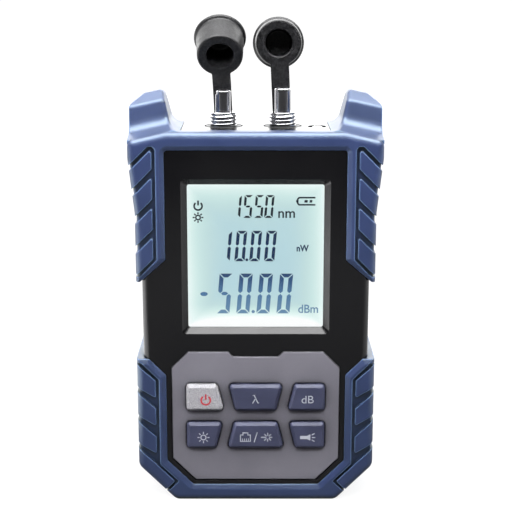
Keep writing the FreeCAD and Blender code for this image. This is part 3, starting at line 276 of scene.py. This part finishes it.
def lettering(name, text, left, right, bottom, top, front_y, weight):
    """Generic symbols from Blender's own font as a thin solid, fitted to a rectangle."""
    curve = bpy.data.curves.new(name, "FONT")
    curve.body = text
    curve.extrude = 0.5
    curve.resolution_u = 6
    curve.offset = weight
    maker = shown(name + "_font", curve)
    bpy.context.view_layer.update()
    mesh = bpy.data.meshes.new_from_object(maker)
    bpy.data.objects.remove(maker)
    low = [min(v.co[i] for v in mesh.vertices) for i in (0, 1)]
    high = [max(v.co[i] for v in mesh.vertices) for i in (0, 1)]
    wide = (right - left) / (high[0] - low[0])
    tall = (top - bottom) / (high[1] - low[1])
    for v in mesh.vertices:
        across = (left + (v.co.x - low[0]) * wide) * MM
        up = (bottom + (v.co.y - low[1]) * tall) * MM
        v.co = Vector((across, front_y + (0.5 - v.co.z) * MARK_THICK, up))
    mesh.name = name
    return shown(name, mesh)


# ---- shader nodes --------------------------------------------------------------------

def tone(red, green, blue, less=0.0):
    """A colour given as it looks on a screen, 0 to 255, as linear light."""
    light = []
    for value in (red, green, blue):
        share = value / 255
        linear = share / 12.92 if share <= 0.04045 else ((share + 0.055) / 1.055) ** 2.4
        light.append(max(linear - less, 0.0))
    return tuple(light)


class Nodes:
    """A node tree, and the ways in which nodes are added to it here."""

    def __init__(self, tree, coordinates):
        self.tree = tree
        self.place = self.add("ShaderNodeTexCoord").outputs[coordinates]

    def add(self, kind, **values):
        node = self.tree.nodes.new(kind)
        for key, value in values.items():
            setattr(node, key, value)
        return node

    def link(self, source, target):
        self.tree.links.new(source, target)

    def feed(self, value, target):
        """Put a number on a socket, or link another socket to it."""
        if isinstance(value, (int, float)):
            target.default_value = value
        else:
            self.link(value, target)

    def axes(self):
        """The X, Y and Z of each place."""
        node = self.add("ShaderNodeSeparateXYZ")
        self.link(self.place, node.inputs[0])
        return node.outputs

    def maths(self, operation, first, second=0.0):
        node = self.add("ShaderNodeMath", operation=operation)
        self.feed(first, node.inputs[0])
        self.feed(second, node.inputs[1])
        return node.outputs[0]

    def mixed(self, share, first, second):
        """A number between two others."""
        node = self.add("ShaderNodeMix")
        self.link(share, node.inputs["Factor"])
        self.feed(first, node.inputs["A"])
        self.feed(second, node.inputs["B"])
        return node.outputs["Result"]

    def ranged(self, value, low, high, from_low=0.3, from_high=0.7, **values):
        """One range of numbers stretched on to another."""
        node = self.add("ShaderNodeMapRange", **values)
        node.inputs["From Min"].default_value = from_low
        node.inputs["From Max"].default_value = from_high
        node.inputs["To Min"].default_value = low
        node.inputs["To Max"].default_value = high
        self.link(value, node.inputs["Value"])
        return node.outputs["Result"]

    def ramp(self, value, stops):
        """Colours between stops, each a number and its colour."""
        node = self.add("ShaderNodeValToRGB")
        elements = node.color_ramp.elements
        while len(elements) < len(stops):
            elements.new(0.5)
        for element, (at, colour) in zip(elements, stops):
            element.position = at
            element.color = (*colour, 1.0)
        self.link(value, node.inputs["Fac"])
        return node.outputs["Color"]

    def noise(self, size, detail=3.0, stretch=None):
        """Noise whose features are about as large as size."""
        node = self.add("ShaderNodeTexNoise")
        node.inputs["Scale"].default_value = 1 / size
        node.inputs["Detail"].default_value = detail
        place = self.place
        if stretch:
            scaled = self.add("ShaderNodeVectorMath", operation="MULTIPLY")
            scaled.inputs[1].default_value = stretch
            self.link(place, scaled.inputs[0])
            place = scaled.outputs[0]
        self.link(place, node.inputs["Vector"])
        return node.outputs["Fac"]

    def bevelled(self, radius, samples):
        """The surface's normal with its edges rounded."""
        node = self.add("ShaderNodeBevel", samples=samples)
        node.inputs["Radius"].default_value = radius
        return node.outputs["Normal"]


class Finish(Nodes):
    """A procedural material, built up in steps that each change one thing."""

    def __init__(self, name, **sockets):
        self.material = bpy.data.materials.new(name)
        self.material.use_nodes = True
        super().__init__(self.material.node_tree, "Object")
        self.shader = self.tree.nodes["Principled BSDF"].inputs
        for socket, value in sockets.items():
            self.shader[socket.replace("_", " ")].default_value = value

    def colours(self, size, dark, light, detail=3.0):
        """Base colour that drifts between two tones."""
        drift = self.ramp(self.noise(size, detail), [(0.35, dark), (0.65, light)])
        self.link(drift, self.shader["Base Color"])
        return self

    def glowing(self, colour):
        """A lit face: its own light at full strength."""
        self.link(colour, self.shader["Emission Color"])
        self.shader["Emission Strength"].default_value = 1.0
        return self

    def edges(self, radius, low=0.02, high=0.16):
        """1 along a piece's edges and 0 on its faces: the mask of the painted edge highlight."""
        dot = self.add("ShaderNodeVectorMath", operation="DOT_PRODUCT")
        self.link(self.bevelled(radius, 8), dot.inputs[0])
        self.link(self.add("ShaderNodeNewGeometry").outputs["Normal"], dot.inputs[1])
        return self.ranged(dot.outputs["Value"], 1.0, 0.0, 1 - high, 1 - low)

    def crevices(self, reach, dark, low, high=0.95):
        """1 on open faces, falling to dark in narrow channels: painted shade from ambient
        occlusion.
        """
        node = self.add("ShaderNodeAmbientOcclusion", samples=8)
        node.inputs["Distance"].default_value = reach
        return self.ranged(node.outputs["AO"], dark, 1.0, low, high)

    def painted_edge_highlight_and_shade(self, highlight_colour, edge, share, reach, dark, low=0.45):
        """Painted highlight along the edges and painted shade in the channels, over the base
        colour.
        """
        edge_highlighted = self.add("ShaderNodeMix", data_type="RGBA")
        self.link(self.maths("MULTIPLY", self.edges(edge), share), edge_highlighted.inputs["Factor"])
        self.link(self.shader["Base Color"].links[0].from_socket, edge_highlighted.inputs[6])
        edge_highlighted.inputs[7].default_value = (*highlight_colour, 1.0)
        shaded = self.add("ShaderNodeVectorMath", operation="SCALE")
        self.link(edge_highlighted.outputs[2], shaded.inputs[0])
        self.link(self.crevices(reach, dark, low), shaded.inputs["Scale"])
        self.link(shaded.outputs[0], self.shader["Base Color"])
        return self

    def roughness(self, size, low, high):
        """Gloss that changes from patch to patch."""
        self.link(self.ranged(self.noise(size, 4.0), low, high), self.shader["Roughness"])
        return self

    def grain(self, size, depth, edge=0.0, stretch=None, detail=2.0):
        """Fine bump, over edges softened by a small radius."""
        bump = self.add("ShaderNodeBump")
        bump.inputs["Strength"].default_value = 1.0
        bump.inputs["Distance"].default_value = depth
        self.link(self.noise(size, detail, stretch), bump.inputs["Height"])
        if edge:
            self.link(self.bevelled(edge, 6), bump.inputs["Normal"])
        self.link(bump.outputs["Normal"], self.shader["Normal"])
        return self


# ---- materials -----------------------------------------------------------------------

def blue_rubber():
    finish = Finish("blue_rubber", Specular_IOR_Level=1.0, Specular_Tint=(0.78, 0.97, 1.0, 1.0))
    finish.colours(0.012, tone(39, 50, 88), tone(46, 57, 97))
    # painted highlight along the rubber's edges and painted shade in the channels between its ribs
    finish.painted_edge_highlight_and_shade(tone(122, 156, 208), 0.0007, 0.55, 0.0024, 0.16)
    finish.roughness(0.006, 0.34, 0.42)
    return finish.grain(0.00030, 0.000008, edge=0.00060).material


def black_case():
    finish = Finish("black_case", Specular_IOR_Level=0.5)
    finish.colours(0.02, tone(7, 7, 10), tone(11, 11, 13))
    finish.roughness(0.01, 0.20, 0.27)
    return finish.grain(0.0004, 0.000004, edge=0.0002).material


def clear_window():
    finish = Finish("clear_window", Transmission_Weight=1.0, IOR=1.22)
    finish.colours(0.03, (0.985, 0.995, 0.99), (1.0, 1.0, 1.0))
    finish.roughness(0.012, 0.0, 0.02)
    return finish.grain(0.01, 0.000002).material


def lit_glass():
    """The lit display: white near its edges and its lamp, pale cyan over its middle."""
    low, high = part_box("display_window")
    middle = (low + high) / 2
    half = (high - low) / 2
    finish = Finish("lcd", Roughness=0.4, Specular_IOR_Level=0.1)
    maths = finish.maths
    place = finish.axes()
    across = maths("DIVIDE", maths("SUBTRACT", place["X"], middle.x), half.x)
    up = maths("DIVIDE", maths("SUBTRACT", place["Z"], middle.z), half.z)
    edges = maths("MAXIMUM", maths("POWER", maths("ABSOLUTE", across), 4.0),
                  maths("POWER", maths("ABSOLUTE", up), 4.0))
    lamp = maths("SUBTRACT", 1.0, maths("POWER", maths("ABSOLUTE", across), 3.0))
    lamp = maths("MULTIPLY", lamp, finish.ranged(up, 0.75, 0.0, -0.92, -0.66))
    total = maths("ADD", maths("ADD", edges, lamp),
                  finish.ranged(finish.noise(0.016, 1.0), -0.05, 0.05))
    finish.shader["Base Color"].default_value = (0.01, 0.012, 0.012, 1.0)
    finish.glowing(finish.ramp(total, [
        (0.02, tone(181, 213, 221, 0.02)), (0.20, tone(193, 221, 222, 0.02)),
        (0.40, tone(204, 231, 229, 0.02)), (0.60, tone(218, 240, 237, 0.02)),
        (0.80, tone(233, 249, 247, 0.02)), (1.0, tone(253, 255, 255, 0.02)),
    ]))
    return finish.grain(0.001, 0.000001).material


def segment_ink():
    """Dark segments, bluer and lighter towards the lowest row."""
    low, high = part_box("display_window")
    finish = Finish("lcd_segments", Roughness=0.4, Specular_IOR_Level=0.1)
    finish.shader["Base Color"].default_value = (0.002, 0.003, 0.004, 1.0)
    finish.glowing(finish.ramp(finish.ranged(finish.axes()["Z"], 0.0, 1.0, low.z, high.z), [
        (0.10, tone(112, 146, 176, 0.02)), (0.24, tone(84, 122, 160, 0.02)),
        (0.34, tone(62, 88, 126, 0.02)), (0.44, tone(30, 48, 78, 0.01)),
        (0.60, tone(30, 50, 84, 0.01)), (0.76, tone(22, 30, 40, 0.005)),
    ]))
    return finish.grain(0.0005, 0.000001).material


def diffuser():
    finish = Finish("diffuser", Subsurface_Weight=0.2)
    finish.colours(0.01, (0.72, 0.80, 0.82), (0.80, 0.88, 0.90))
    finish.roughness(0.004, 0.4, 0.55)
    return finish.grain(0.0006, 0.00001).material


def silicone():
    finish = Finish("silicone", Specular_IOR_Level=0.4)
    finish.colours(0.008, (0.30, 0.31, 0.33), (0.36, 0.37, 0.39))
    finish.roughness(0.003, 0.5, 0.65)
    return finish.grain(0.0003, 0.00001, edge=0.0002).material


def grey_panel():
    finish = Finish("grey_panel", Specular_IOR_Level=0.35, Metallic=0.25)
    finish.colours(0.02, tone(130, 128, 138), tone(140, 138, 148))
    # painted shadow round the keys and painted highlight along the panel's edges
    finish.painted_edge_highlight_and_shade(tone(150, 148, 156), 0.0003, 0.4, 0.0090, 0.10, low=0.68)
    finish.roughness(0.008, 0.34, 0.44)
    return finish.grain(0.00018, 0.000006, edge=0.00025).material


def power_key():
    """Silver paint with coarse sparkling flakes."""
    finish = Finish("power_key", Specular_IOR_Level=0.2)
    finish.colours(0.00022, tone(138, 138, 145), tone(196, 194, 198), detail=1.0)
    finish.roughness(0.001, 0.34, 0.50)
    return finish.grain(0.00022, 0.00002, edge=0.0003).material


def slate_key():
    finish = Finish("slate_key", Specular_IOR_Level=0.36)
    finish.colours(0.006, tone(64, 67, 90), tone(72, 75, 100))
    # painted highlight along the key's edges and painted shade in its hollows
    finish.painted_edge_highlight_and_shade(tone(110, 114, 135), 0.00045, 0.5, 0.001, 0.6)
    finish.roughness(0.003, 0.34, 0.44)
    return finish.grain(0.00016, 0.000005, edge=0.0003).material


def black_rubber():
    finish = Finish("black_rubber", Specular_IOR_Level=0.38)
    finish.colours(0.0006, tone(5, 5, 7), tone(34, 34, 36), detail=2.0)
    finish.roughness(0.0016, 0.34, 0.50)
    return finish.grain(0.00040, 0.00004, detail=4.0).material


def plain(name, dark, light, rough, grain=0.0003, **sockets):
    """A moulded or printed finish whose only changes are tone, gloss and grain."""
    finish = Finish(name, **sockets)
    finish.colours(0.006, dark, light)
    finish.roughness(0.003, rough - 0.05, rough + 0.05)
    return finish.grain(grain, 0.000008, edge=0.00012).material


def turned_metal(name, dark, light, low, high):
    """Bright turned metal with faint rings from the tool."""
    finish = Finish(name, Metallic=1.0)
    finish.colours(0.003, dark, light)
    finish.roughness(0.001, low, high)
    return finish.grain(0.0006, 0.000001, stretch=(0.3, 0.3, 4.0)).material


MATERIALS = {
    "blue_rubber": blue_rubber(),
    "black_case": black_case(),
    "clear_window": clear_window(),
    "lcd": lit_glass(),
    "diffuser": diffuser(),
    "silicone": silicone(),
    "grey_panel": grey_panel(),
    "power_key": power_key(),
    "slate_key": slate_key(),
    "carbon": plain("carbon", (0.015, 0.015, 0.015), (0.025, 0.025, 0.025), 0.6),
    "board": plain("board", (0.012, 0.085, 0.030), (0.020, 0.110, 0.042), 0.35, grain=0.0008),
    "chip": plain("chip", (0.018, 0.018, 0.019), (0.028, 0.028, 0.029), 0.5),
    "jack_plastic": plain("jack_plastic", (0.012, 0.012, 0.013), (0.020, 0.020, 0.021), 0.42),
    "led_lens": plain("led_lens", (0.90, 0.91, 0.93), (0.98, 0.98, 0.99), 0.08,
                      Transmission_Weight=0.7, IOR=1.5),
    "chromed_brass": turned_metal("chromed_brass", (0.52, 0.52, 0.54), (0.60, 0.60, 0.62),
                                  0.15, 0.20),
    "ceramic": plain("ceramic", (0.78, 0.76, 0.72), (0.86, 0.84, 0.80), 0.18),
    "nickel": turned_metal("nickel", (0.50, 0.48, 0.45), (0.62, 0.60, 0.57), 0.22, 0.34),
    "brass": turned_metal("brass", (0.60, 0.43, 0.17), (0.70, 0.52, 0.24), 0.20, 0.32),
    "black_rubber": black_rubber(),
    "cell_can": plain("cell_can", (0.022, 0.022, 0.026), (0.034, 0.034, 0.038), 0.30,
                      Coat_Weight=0.4),
    "screw_steel": turned_metal("screw_steel", (0.16, 0.16, 0.17), (0.24, 0.24, 0.25), 0.30, 0.42),
}


def dress_nodes():
    """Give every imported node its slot's finish and smooth shading."""
    slots = {part["node"]: part["material_slot"] for part in frame["record"]["subparts"]}
    for name, obj in NODES.items():
        obj.data.materials.clear()
        obj.data.materials.append(MATERIALS[slots[name]])
        for face in obj.data.polygons:
            face.use_smooth = True


def finished(obj, body, material):
    """Give a new piece its finish and the body it rides on."""
    obj.data.materials.clear()
    obj.data.materials.append(material)
    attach(obj, body)


# ---- fibre ports ---------------------------------------------------------------------

def port(name, stem_radius, rib_out):
    """A port with its real thread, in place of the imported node.

    A rib, if there is one, stands rib_out from the left side of the stem.
    """
    low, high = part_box(name)
    ring_low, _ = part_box(name.split("_")[0] + "_cap_tether")
    centre = Vector(((low.x + high.x) / 2, (low.y + high.y) / 2, 0))
    if rib_out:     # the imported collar's facets fall a little short on the rib's side
        centre.x = high.x - COLLAR_RADIUS
    foot = ring_low.z + COLLAR_LIFT
    shoulder = foot + COLLAR_HEIGHT
    top = high.z
    rib_top = top - RIB_DROP

    def thread(z, angle):
        """Crest or groove of the thread, which runs out at the collar's chamfered ends."""
        turn = (z - foot) / THREAD_PITCH - angle / (2 * math.pi)
        crest = abs(2 * (turn % 1.0) - 1)
        inwards = min(z - foot, shoulder - z) / THREAD_FADE
        fade = min(1.0, 0.25 + 0.75 * inwards)
        groove = THREAD_DEPTH * min(1.0, max(0.0, 1.35 * (1 - crest) - 0.15))
        return COLLAR_RADIUS - groove * fade - COLLAR_CHAMFER * max(0.0, 1 - inwards)

    def ribbed(angle):
        """The stem and the smaller round that makes its rib."""
        facing = angle - math.pi
        rib = RIB_SHARE * stem_radius
        offset = stem_radius + rib_out - rib
        inside = rib * rib - (offset * math.sin(facing)) ** 2
        if not rib_out or inside <= 0 or math.cos(facing) <= 0:
            return stem_radius
        return max(stem_radius, offset * math.cos(facing) + math.sqrt(inside))

    angles = [2 * math.pi * i / PORT_STEPS for i in range(PORT_STEPS)]
    rings = [(z, [NECK_RADIUS] * PORT_STEPS) for z in (low.z, foot)]
    for i in range(THREAD_ROWS + 1):
        z = foot + (shoulder - foot) * i / THREAD_ROWS
        rings.append((z, [thread(z, angle) for angle in angles]))
    for z in (shoulder, rib_top - 0.5 * MM, rib_top - 0.2 * MM, rib_top):
        rings.append((z, [ribbed(angle) for angle in angles]))
    rings.append((rib_top, [stem_radius] * PORT_STEPS))
    for i in range(7):
        angle = math.radians(15 * i)
        radius = stem_radius - STEM_ROUND * (1 - math.cos(angle))
        rings.append((top - STEM_ROUND + STEM_ROUND * math.sin(angle), [radius] * PORT_STEPS))
    for z, radius in ((top, MOUTH_RIM), (top - MOUTH_DEPTH, MOUTH_RADIUS),
                      (top - MOUTH_DEPTH, BORE_RADIUS), (low.z, BORE_RADIUS)):
        rings.append((z, [radius] * PORT_STEPS))

    obj = turned(name + "_turned", rings, centre)
    sharpen(obj, PORT_CREASE)
    finished(obj, "meter", MATERIALS["chromed_brass"])
    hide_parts(name)


# ---- display marks -------------------------------------------------------------------

def digit(figure, width, height, stroke):
    """Seven-segment figure with mitred segments, from its lower left corner."""
    w, h, t, gap = width, height, stroke, SEGMENT_GAP
    middle = h / 2
    flat = 0.90 * t
    inset = 1.1 * gap
    tip = 0.42 * t + gap
    waist = 0.40 * t
    nose = 0.55 * t + gap
    notch = 0.7 * gap
    shapes = {
        "a": [(inset, h), (w - inset, h), (w - flat - inset, h - flat), (flat + inset, h - flat)],
        "d": [(inset, 0), (w - inset, 0), (w - flat - inset, flat), (flat + inset, flat)],
        "g": [(nose, middle), (t + gap, middle + waist), (w - t - gap, middle + waist),
              (w - nose, middle), (w - t - gap, middle - waist), (t + gap, middle - waist)],
        "f": [(0, h - inset), (t, h - t - inset), (t, middle + tip),
              (t / 2, middle + notch), (0, middle + tip)],
        "e": [(0, inset), (t, t + inset), (t, middle - tip),
              (t / 2, middle - notch), (0, middle - tip)],
    }
    shapes["b"] = [(w - x, z) for x, z in shapes["f"]]
    shapes["c"] = [(w - x, z) for x, z in shapes["e"]]
    lit = {"0": "abcdef", "1": "bc", "5": "afgcd"}[figure]
    return [shapes[key] for key in lit]


def battery_icon(left, right, bottom, top, line):
    """A battery's case, open at its right end, with two cells in it."""
    middle = (bottom + top) / 2
    return [
        bar(left + 0.25, top, right, top, line),
        bar(left + 0.25, bottom, right, bottom, line),
        bar(left, bottom + 0.3, left, top - 0.3, line),
        bar(left - 0.02, top - 0.42, left + 0.40, top, line),
        bar(left - 0.02, bottom + 0.42, left + 0.40, bottom, line),
        bar(left - 0.26, middle - 0.34, left - 0.26, middle + 0.34, 0.36),
        [(13.35, 86.60), (14.25, 86.60), (14.35, 87.30), (13.45, 87.30)],
        [(14.75, 86.60), (15.50, 86.60), (15.60, 87.30), (14.85, 87.30)],
    ]


def display_marks():
    """The numbers, units and icons that the display shows."""
    glass_low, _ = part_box("lcd_panel")
    front = glass_low.y - MARK_THICK - DISPLAY_MARK_LIFT
    outlines = []
    for figures, lefts, base, width, height, stroke in (
        ("1550", (-6.65, -3.55, -0.50, 2.30), 82.31, 2.37, 6.38, 0.66),
        ("1000", (-10.05, -5.92, -1.80, 2.30), 70.05, 2.86, 8.63, 0.88),
        ("5000", (-11.0, -5.44, 0.17, 5.80), 55.04, 3.65, 11.47, 1.20),
    ):
        for figure, left in zip(figures, lefts):
            outlines += moved(digit(figure, width, height, stroke), left, base, SEGMENT_SLANT)
    # decimal points and the minus sign
    outlines += moved([blob(0.80, 0.80)], -2.45, 70.46)
    outlines += moved([blob(0.95, 0.90)], -0.68, 55.55)
    outlines += moved([blob(2.10, 1.20)], -14.41, 60.65)
    outlines += battery_icon(11.55, 16.4, 85.98, 87.97, 0.44)
    # power and lamp icons
    outlines += moved([arc(1.10, 0.48, 128, 412), bar(0, 0.20, 0, 1.55, 0.48)], -15.80, 85.62)
    outlines += moved([arc(0.62, 0.40, 0, 360)] + rays(0.90, 1.48, 0.38), -15.85, 82.42)
    pieces = [mark("display_figures", outlines, front)]
    for text, left, right, bottom, top, weight in (
        ("nm", 6.22, 10.83, 82.31, 84.22, 0.014),
        ("nW", 11.33, 14.72, 72.82, 74.69, 0.034),
        ("dBm", 11.91, 17.46, 55.18, 57.57, 0.012),
    ):
        pieces.append(lettering("display_unit_" + text, text, left, right, bottom, top,
                                front, weight))
    ink = segment_ink()
    for piece in pieces:
        finished(piece, "meter", ink)


# ---- key marks -----------------------------------------------------------------------

def power_sign():
    return [arc(1.30, 0.46, 125, 415), bar(0, 0.15, 0, 1.80, 0.46)]


def wavelength_sign():
    return [bar(-0.82, 1.13, -0.38, 1.22, 0.24), bar(-0.42, 1.24, 0.64, -1.10, 0.29),
            bar(0.60, -1.12, 0.98, -0.98, 0.24), bar(0.02, 0.33, -0.86, -1.18, 0.27)]


def lamp_sign():
    return [arc(0.72, 0.28, 0, 360)] + rays(1.10, 1.70, 0.26)


def port_sign():
    """A network socket with its contacts, a dividing stroke, and a beam that ends in a flash."""
    socket = [
        bar(-4.3, -1.2, -1.5, -1.2, 0.28), bar(-4.3, 0.7, -3.6, 0.7, 0.28),
        bar(-2.2, 0.7, -1.5, 0.7, 0.28), bar(-4.3, -1.34, -4.3, 0.84, 0.28),
        bar(-1.5, -1.34, -1.5, 0.84, 0.28), bar(-3.6, 0.56, -3.6, 1.34, 0.28),
        bar(-2.2, 0.56, -2.2, 1.34, 0.28), bar(-3.74, 1.34, -2.06, 1.34, 0.28),
    ]
    contacts = [bar(-3.75 + 0.56 * i, -1.1, -3.75 + 0.56 * i, -0.35, 0.2) for i in range(4)]
    beam = [bar(-0.45, -1.5, 0.45, 1.5, 0.26), bar(1.5, 0.0, 3.0, 0.0, 0.3)]
    flash = rays(0.45, 1.35, 0.24)
    flash[4] = bar(-1.2, 0.0, -1.35, 0.0, 0.24)     # the ray that the beam takes up
    return socket + contacts + beam + moved(flash, 3.4, 0.0)


def torch_sign():
    return [bar(-2.0, 0.0, 0.0, 0.0, 0.95), [(0.0, 0.48), (0.0, -0.48), (0.9, -0.95), (0.9, 0.95)],
            bar(1.35, 0.0, 2.3, 0.0, 0.26), bar(1.3, 0.75, 2.1, 1.2, 0.26),
            bar(1.3, -0.75, 2.1, -1.2, 0.26)]


def key_marks():
    """Generic signs on the keys, each placed from the middle of its key."""
    white = plain("key_print", (0.46, 0.48, 0.55), (0.54, 0.56, 0.63), 0.45)
    red = plain("key_print_red", (0.52, 0.040, 0.055), (0.60, 0.055, 0.070), 0.40)

    def place(name):
        low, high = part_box("key_" + name)
        return ((low.x + high.x) / 2 / MM, low.y - MARK_THICK + KEY_MARK_SINK,
                (low.z + high.z) / 2 / MM)

    def put(name, outlines, material, right, up):
        x, y, z = place(name)
        sign = mark("key_" + name + "_sign", moved(outlines, x + right, z + up), y)
        finished(sign, "key_" + name, material)

    put("power", power_sign(), red, 0.35, -0.55)
    put("wavelength", wavelength_sign(), white, 0.0, -0.25)
    x, y, z = place("reference")
    unit = lettering("key_reference_sign", "dB", x - 1.45, x + 1.95, z - 1.40, z + 0.78, y, -0.006)
    finished(unit, "key_reference", white)
    put("backlight", lamp_sign(), white, -0.2, -0.4)
    put("port", port_sign(), white, 0.0, -0.35)
    put("torch", torch_sign(), white, 0.0, -0.4)


# ---- dust caps -----------------------------------------------------------------------

def dust_cap(name, port_x, fold, rise, tilt):
    """Ring, strap and cup as the one piece of rubber they are, bending at the fold.

    fold is the fold's height above the ring's underside, rise the cup's axis above the fold,
    and tilt the angle by which the cup leans at rest.
    """
    ring_low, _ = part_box(name + "_tether")
    ring_z = ring_low.z
    fold_z = ring_z + fold
    front, back = STRAP_Y - STRAP_THICK / 2, STRAP_Y + STRAP_THICK / 2
    left, right = port_x - STRAP_HALF, port_x + STRAP_HALF
    lean = turn_about((port_x, STRAP_Y, ring_z), STRAP_LEAN, "Y")
    upright = lean @ turn_about((port_x, STRAP_Y, fold_z), tilt, "X")

    made = bmesh.new()
    ring = [(RING_INNER, 0.0), (RING_OUTER, 0.0), (RING_OUTER, RING_THICK),
            (RING_INNER, RING_THICK)]
    add_revolved(made, ring, RING_STEPS, Matrix.Translation((port_x, PORT_Y, ring_z)))
    add_box(made, (left, front, ring_z + STRAP_FOOT), (right, back, fold_z + STRAP_LAP), lean)
    add_box(made, (left, front, fold_z - STRAP_LAP), (right, back, fold_z + rise - STRAP_END),
            upright)
    cup = [(r * MM, z * MM) for r, z in CUP_PROFILE]
    mouth = Matrix.Translation((port_x, front, fold_z + rise))
    facing = Matrix.Rotation(math.radians(-90), 4, "X")
    add_revolved(made, cup, CUP_STEPS, upright @ mouth @ facing)
    bmesh.ops.recalc_face_normals(made, faces=made.faces)
    mesh = bpy.data.meshes.new(name + "_rubber")
    made.to_mesh(mesh)
    made.free()

    obj = shown(name + "_rubber", mesh)
    skin = obj.modifiers.new("skin", "REMESH")
    skin.mode = "VOXEL"
    skin.voxel_size = SKIN_VOXEL
    soften = obj.modifiers.new("soften", "SMOOTH")
    soften.iterations = SKIN_PASSES
    soften.factor = 0.5
    bpy.context.view_layer.update()
    evaluated = obj.evaluated_get(bpy.context.evaluated_depsgraph_get())
    skinned = bpy.data.meshes.new_from_object(evaluated)
    obj.modifiers.clear()
    obj.data = skinned
    skinned.name = name + "_rubber"
    for face in skinned.polygons:
        face.use_smooth = True
    skinned.materials.clear()
    skinned.materials.append(MATERIALS["black_rubber"])
    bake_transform(obj)
    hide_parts(name, name + "_tether")


# ---- stage ---------------------------------------------------------------------------

def floor():
    """Pale floor: lit by the lamps, white where it is seen, grey near the part in mirrors."""
    corners = [(-FLOOR_HALF, -FLOOR_HALF, FLOOR_Z), (FLOOR_HALF, -FLOOR_HALF, FLOOR_Z),
               (FLOOR_HALF, FLOOR_HALF, FLOOR_Z), (-FLOOR_HALF, FLOOR_HALF, FLOOR_Z)]
    obj = mesh_object("floor", corners, [(0, 1, 2, 3)], smooth=False)
    finish = Finish("floor", Roughness=0.9, Specular_IOR_Level=0.0)
    finish.colours(0.2, (0.15, 0.15, 0.155), (0.17, 0.17, 0.175))
    finish.grain(0.01, 0.00001)
    finish.shader["Emission Color"].default_value = (1, 1, 1, 1)
    length = finish.add("ShaderNodeVectorMath", operation="LENGTH")
    finish.link(finish.place, length.inputs[0])
    reach = length.outputs["Value"]
    path = finish.add("ShaderNodeLightPath").outputs
    white = finish.ranged(reach, 0.88, 1.0, 0.25, 1.1)
    behind = finish.ranged(finish.axes()["Y"], 0.0, 1.0, -0.45, -0.20)
    away = finish.ranged(reach, 0.1, 1.0, 0.14, 0.45)
    mirrored = finish.maths("MULTIPLY", finish.maths("MULTIPLY", path["Is Glossy Ray"], behind),
                            away)
    seen = finish.maths("MAXIMUM", path["Is Camera Ray"], path["Is Transmission Ray"])
    lift = finish.maths("MULTIPLY", finish.maths("MAXIMUM", seen, mirrored), white)
    finish.link(lift, finish.shader["Emission Strength"])
    obj.data.materials.append(finish.material)


def world():
    """White studio: all white where it is seen, darker in front where it lights or is mirrored."""
    made = bpy.data.worlds.new("studio")
    made.use_nodes = True
    nodes = Nodes(made.node_tree, "Generated")
    background = nodes.tree.nodes["Background"].inputs
    background["Color"].default_value = (1, 1, 1, 1)
    path = nodes.add("ShaderNodeLightPath").outputs
    mirrored = nodes.ranged(nodes.axes()["Y"], 0.10, 1.0, -0.55, 0.45,
                            interpolation_type="SMOOTHSTEP")
    lit = nodes.maths("MULTIPLY", mirrored, FILL_SHARE)
    unseen = nodes.mixed(path["Is Glossy Ray"], lit, mirrored)
    seen = nodes.maths("MAXIMUM", path["Is Camera Ray"], path["Is Transmission Ray"])
    nodes.link(nodes.mixed(seen, unseen, 1.0), background["Strength"])
    bpy.context.scene.world = made


def softbox(name, place, target, width, height, power, diffuse=True, glossy=True, spread=180):
    """A soft lamp that points at a target, and can be kept out of diffuse light or mirrors."""
    lamp = bpy.data.lights.new(name, "AREA")
    lamp.shape = "RECTANGLE"
    lamp.size = width
    lamp.size_y = height
    lamp.energy = power
    lamp.spread = math.radians(spread)
    obj = shown(name, lamp)
    obj.location = place
    obj.rotation_mode = "QUATERNION"
    obj.rotation_quaternion = (Vector(target) - Vector(place)).to_track_quat("-Z", "Y")
    obj.visible_camera = False
    obj.visible_diffuse = diffuse
    obj.visible_glossy = glossy


def lights():
    """Four lamps that only light the part, one behind it, and three panels that it mirrors."""
    middle = (0, 0, 0.07)
    softbox("overhead", (0, -0.17, 0.74), middle, 0.9, 0.10, 2.0, glossy=False)
    softbox("left", (-0.50, -0.14, 0.32), middle, 0.16, 0.44, 2.0, glossy=False)
    softbox("right", (0.60, -0.20, 0.34), middle, 0.14, 0.44, 1.0, glossy=False)
    softbox("front", (0, -0.26, 0.34), (0, 0, 0.115), 0.30, 0.08, 0.30, glossy=False, spread=52)
    softbox("rear", (0, 1.0, 0.48), middle, 1.6, 0.9, 11.0)
    softbox("overhead_panel", (0, -0.05, 0.70), middle, 1.1, 0.55, 20.0, diffuse=False)
    softbox("card_left", (-0.26, 0.0, 0.002), (-0.26, 0, 1.0), 0.36, 0.24, 0.8, diffuse=False)
    softbox("card_right", (0.26, 0.0, 0.002), (0.26, 0, 1.0), 0.36, 0.24, 0.15, diffuse=False)


def camera():
    data = bpy.data.cameras.new("camera")
    data.lens = CAMERA_LENS
    data.sensor_width = CAMERA_SENSOR
    data.clip_start = 0.01
    data.clip_end = 20.0
    obj = shown("camera", data)
    tilt = math.radians(CAMERA_ELEVATION)
    obj.location = CAMERA_AIM + CAMERA_DISTANCE * Vector((0, -math.cos(tilt), math.sin(tilt)))
    obj.rotation_euler = (math.radians(90) - tilt, 0, 0)
    bpy.context.scene.camera = obj


# ---- build everything ----------------------------------------------------------------

camera()
dress_nodes()
port("meter_port", 2.0 * MM, 0.3 * MM)
port("laser_port", 2.3 * MM, 0.0)
dust_cap("meter_cap", -9.0 * MM, 11.7 * MM, 9.9 * MM, 27.0)
dust_cap("laser_cap", 7.6 * MM, 12.2 * MM, 11.4 * MM, -3.5)
display_marks()
key_marks()
floor()
world()
lights()
bpy.context.scene.view_settings.view_transform = "Standard"
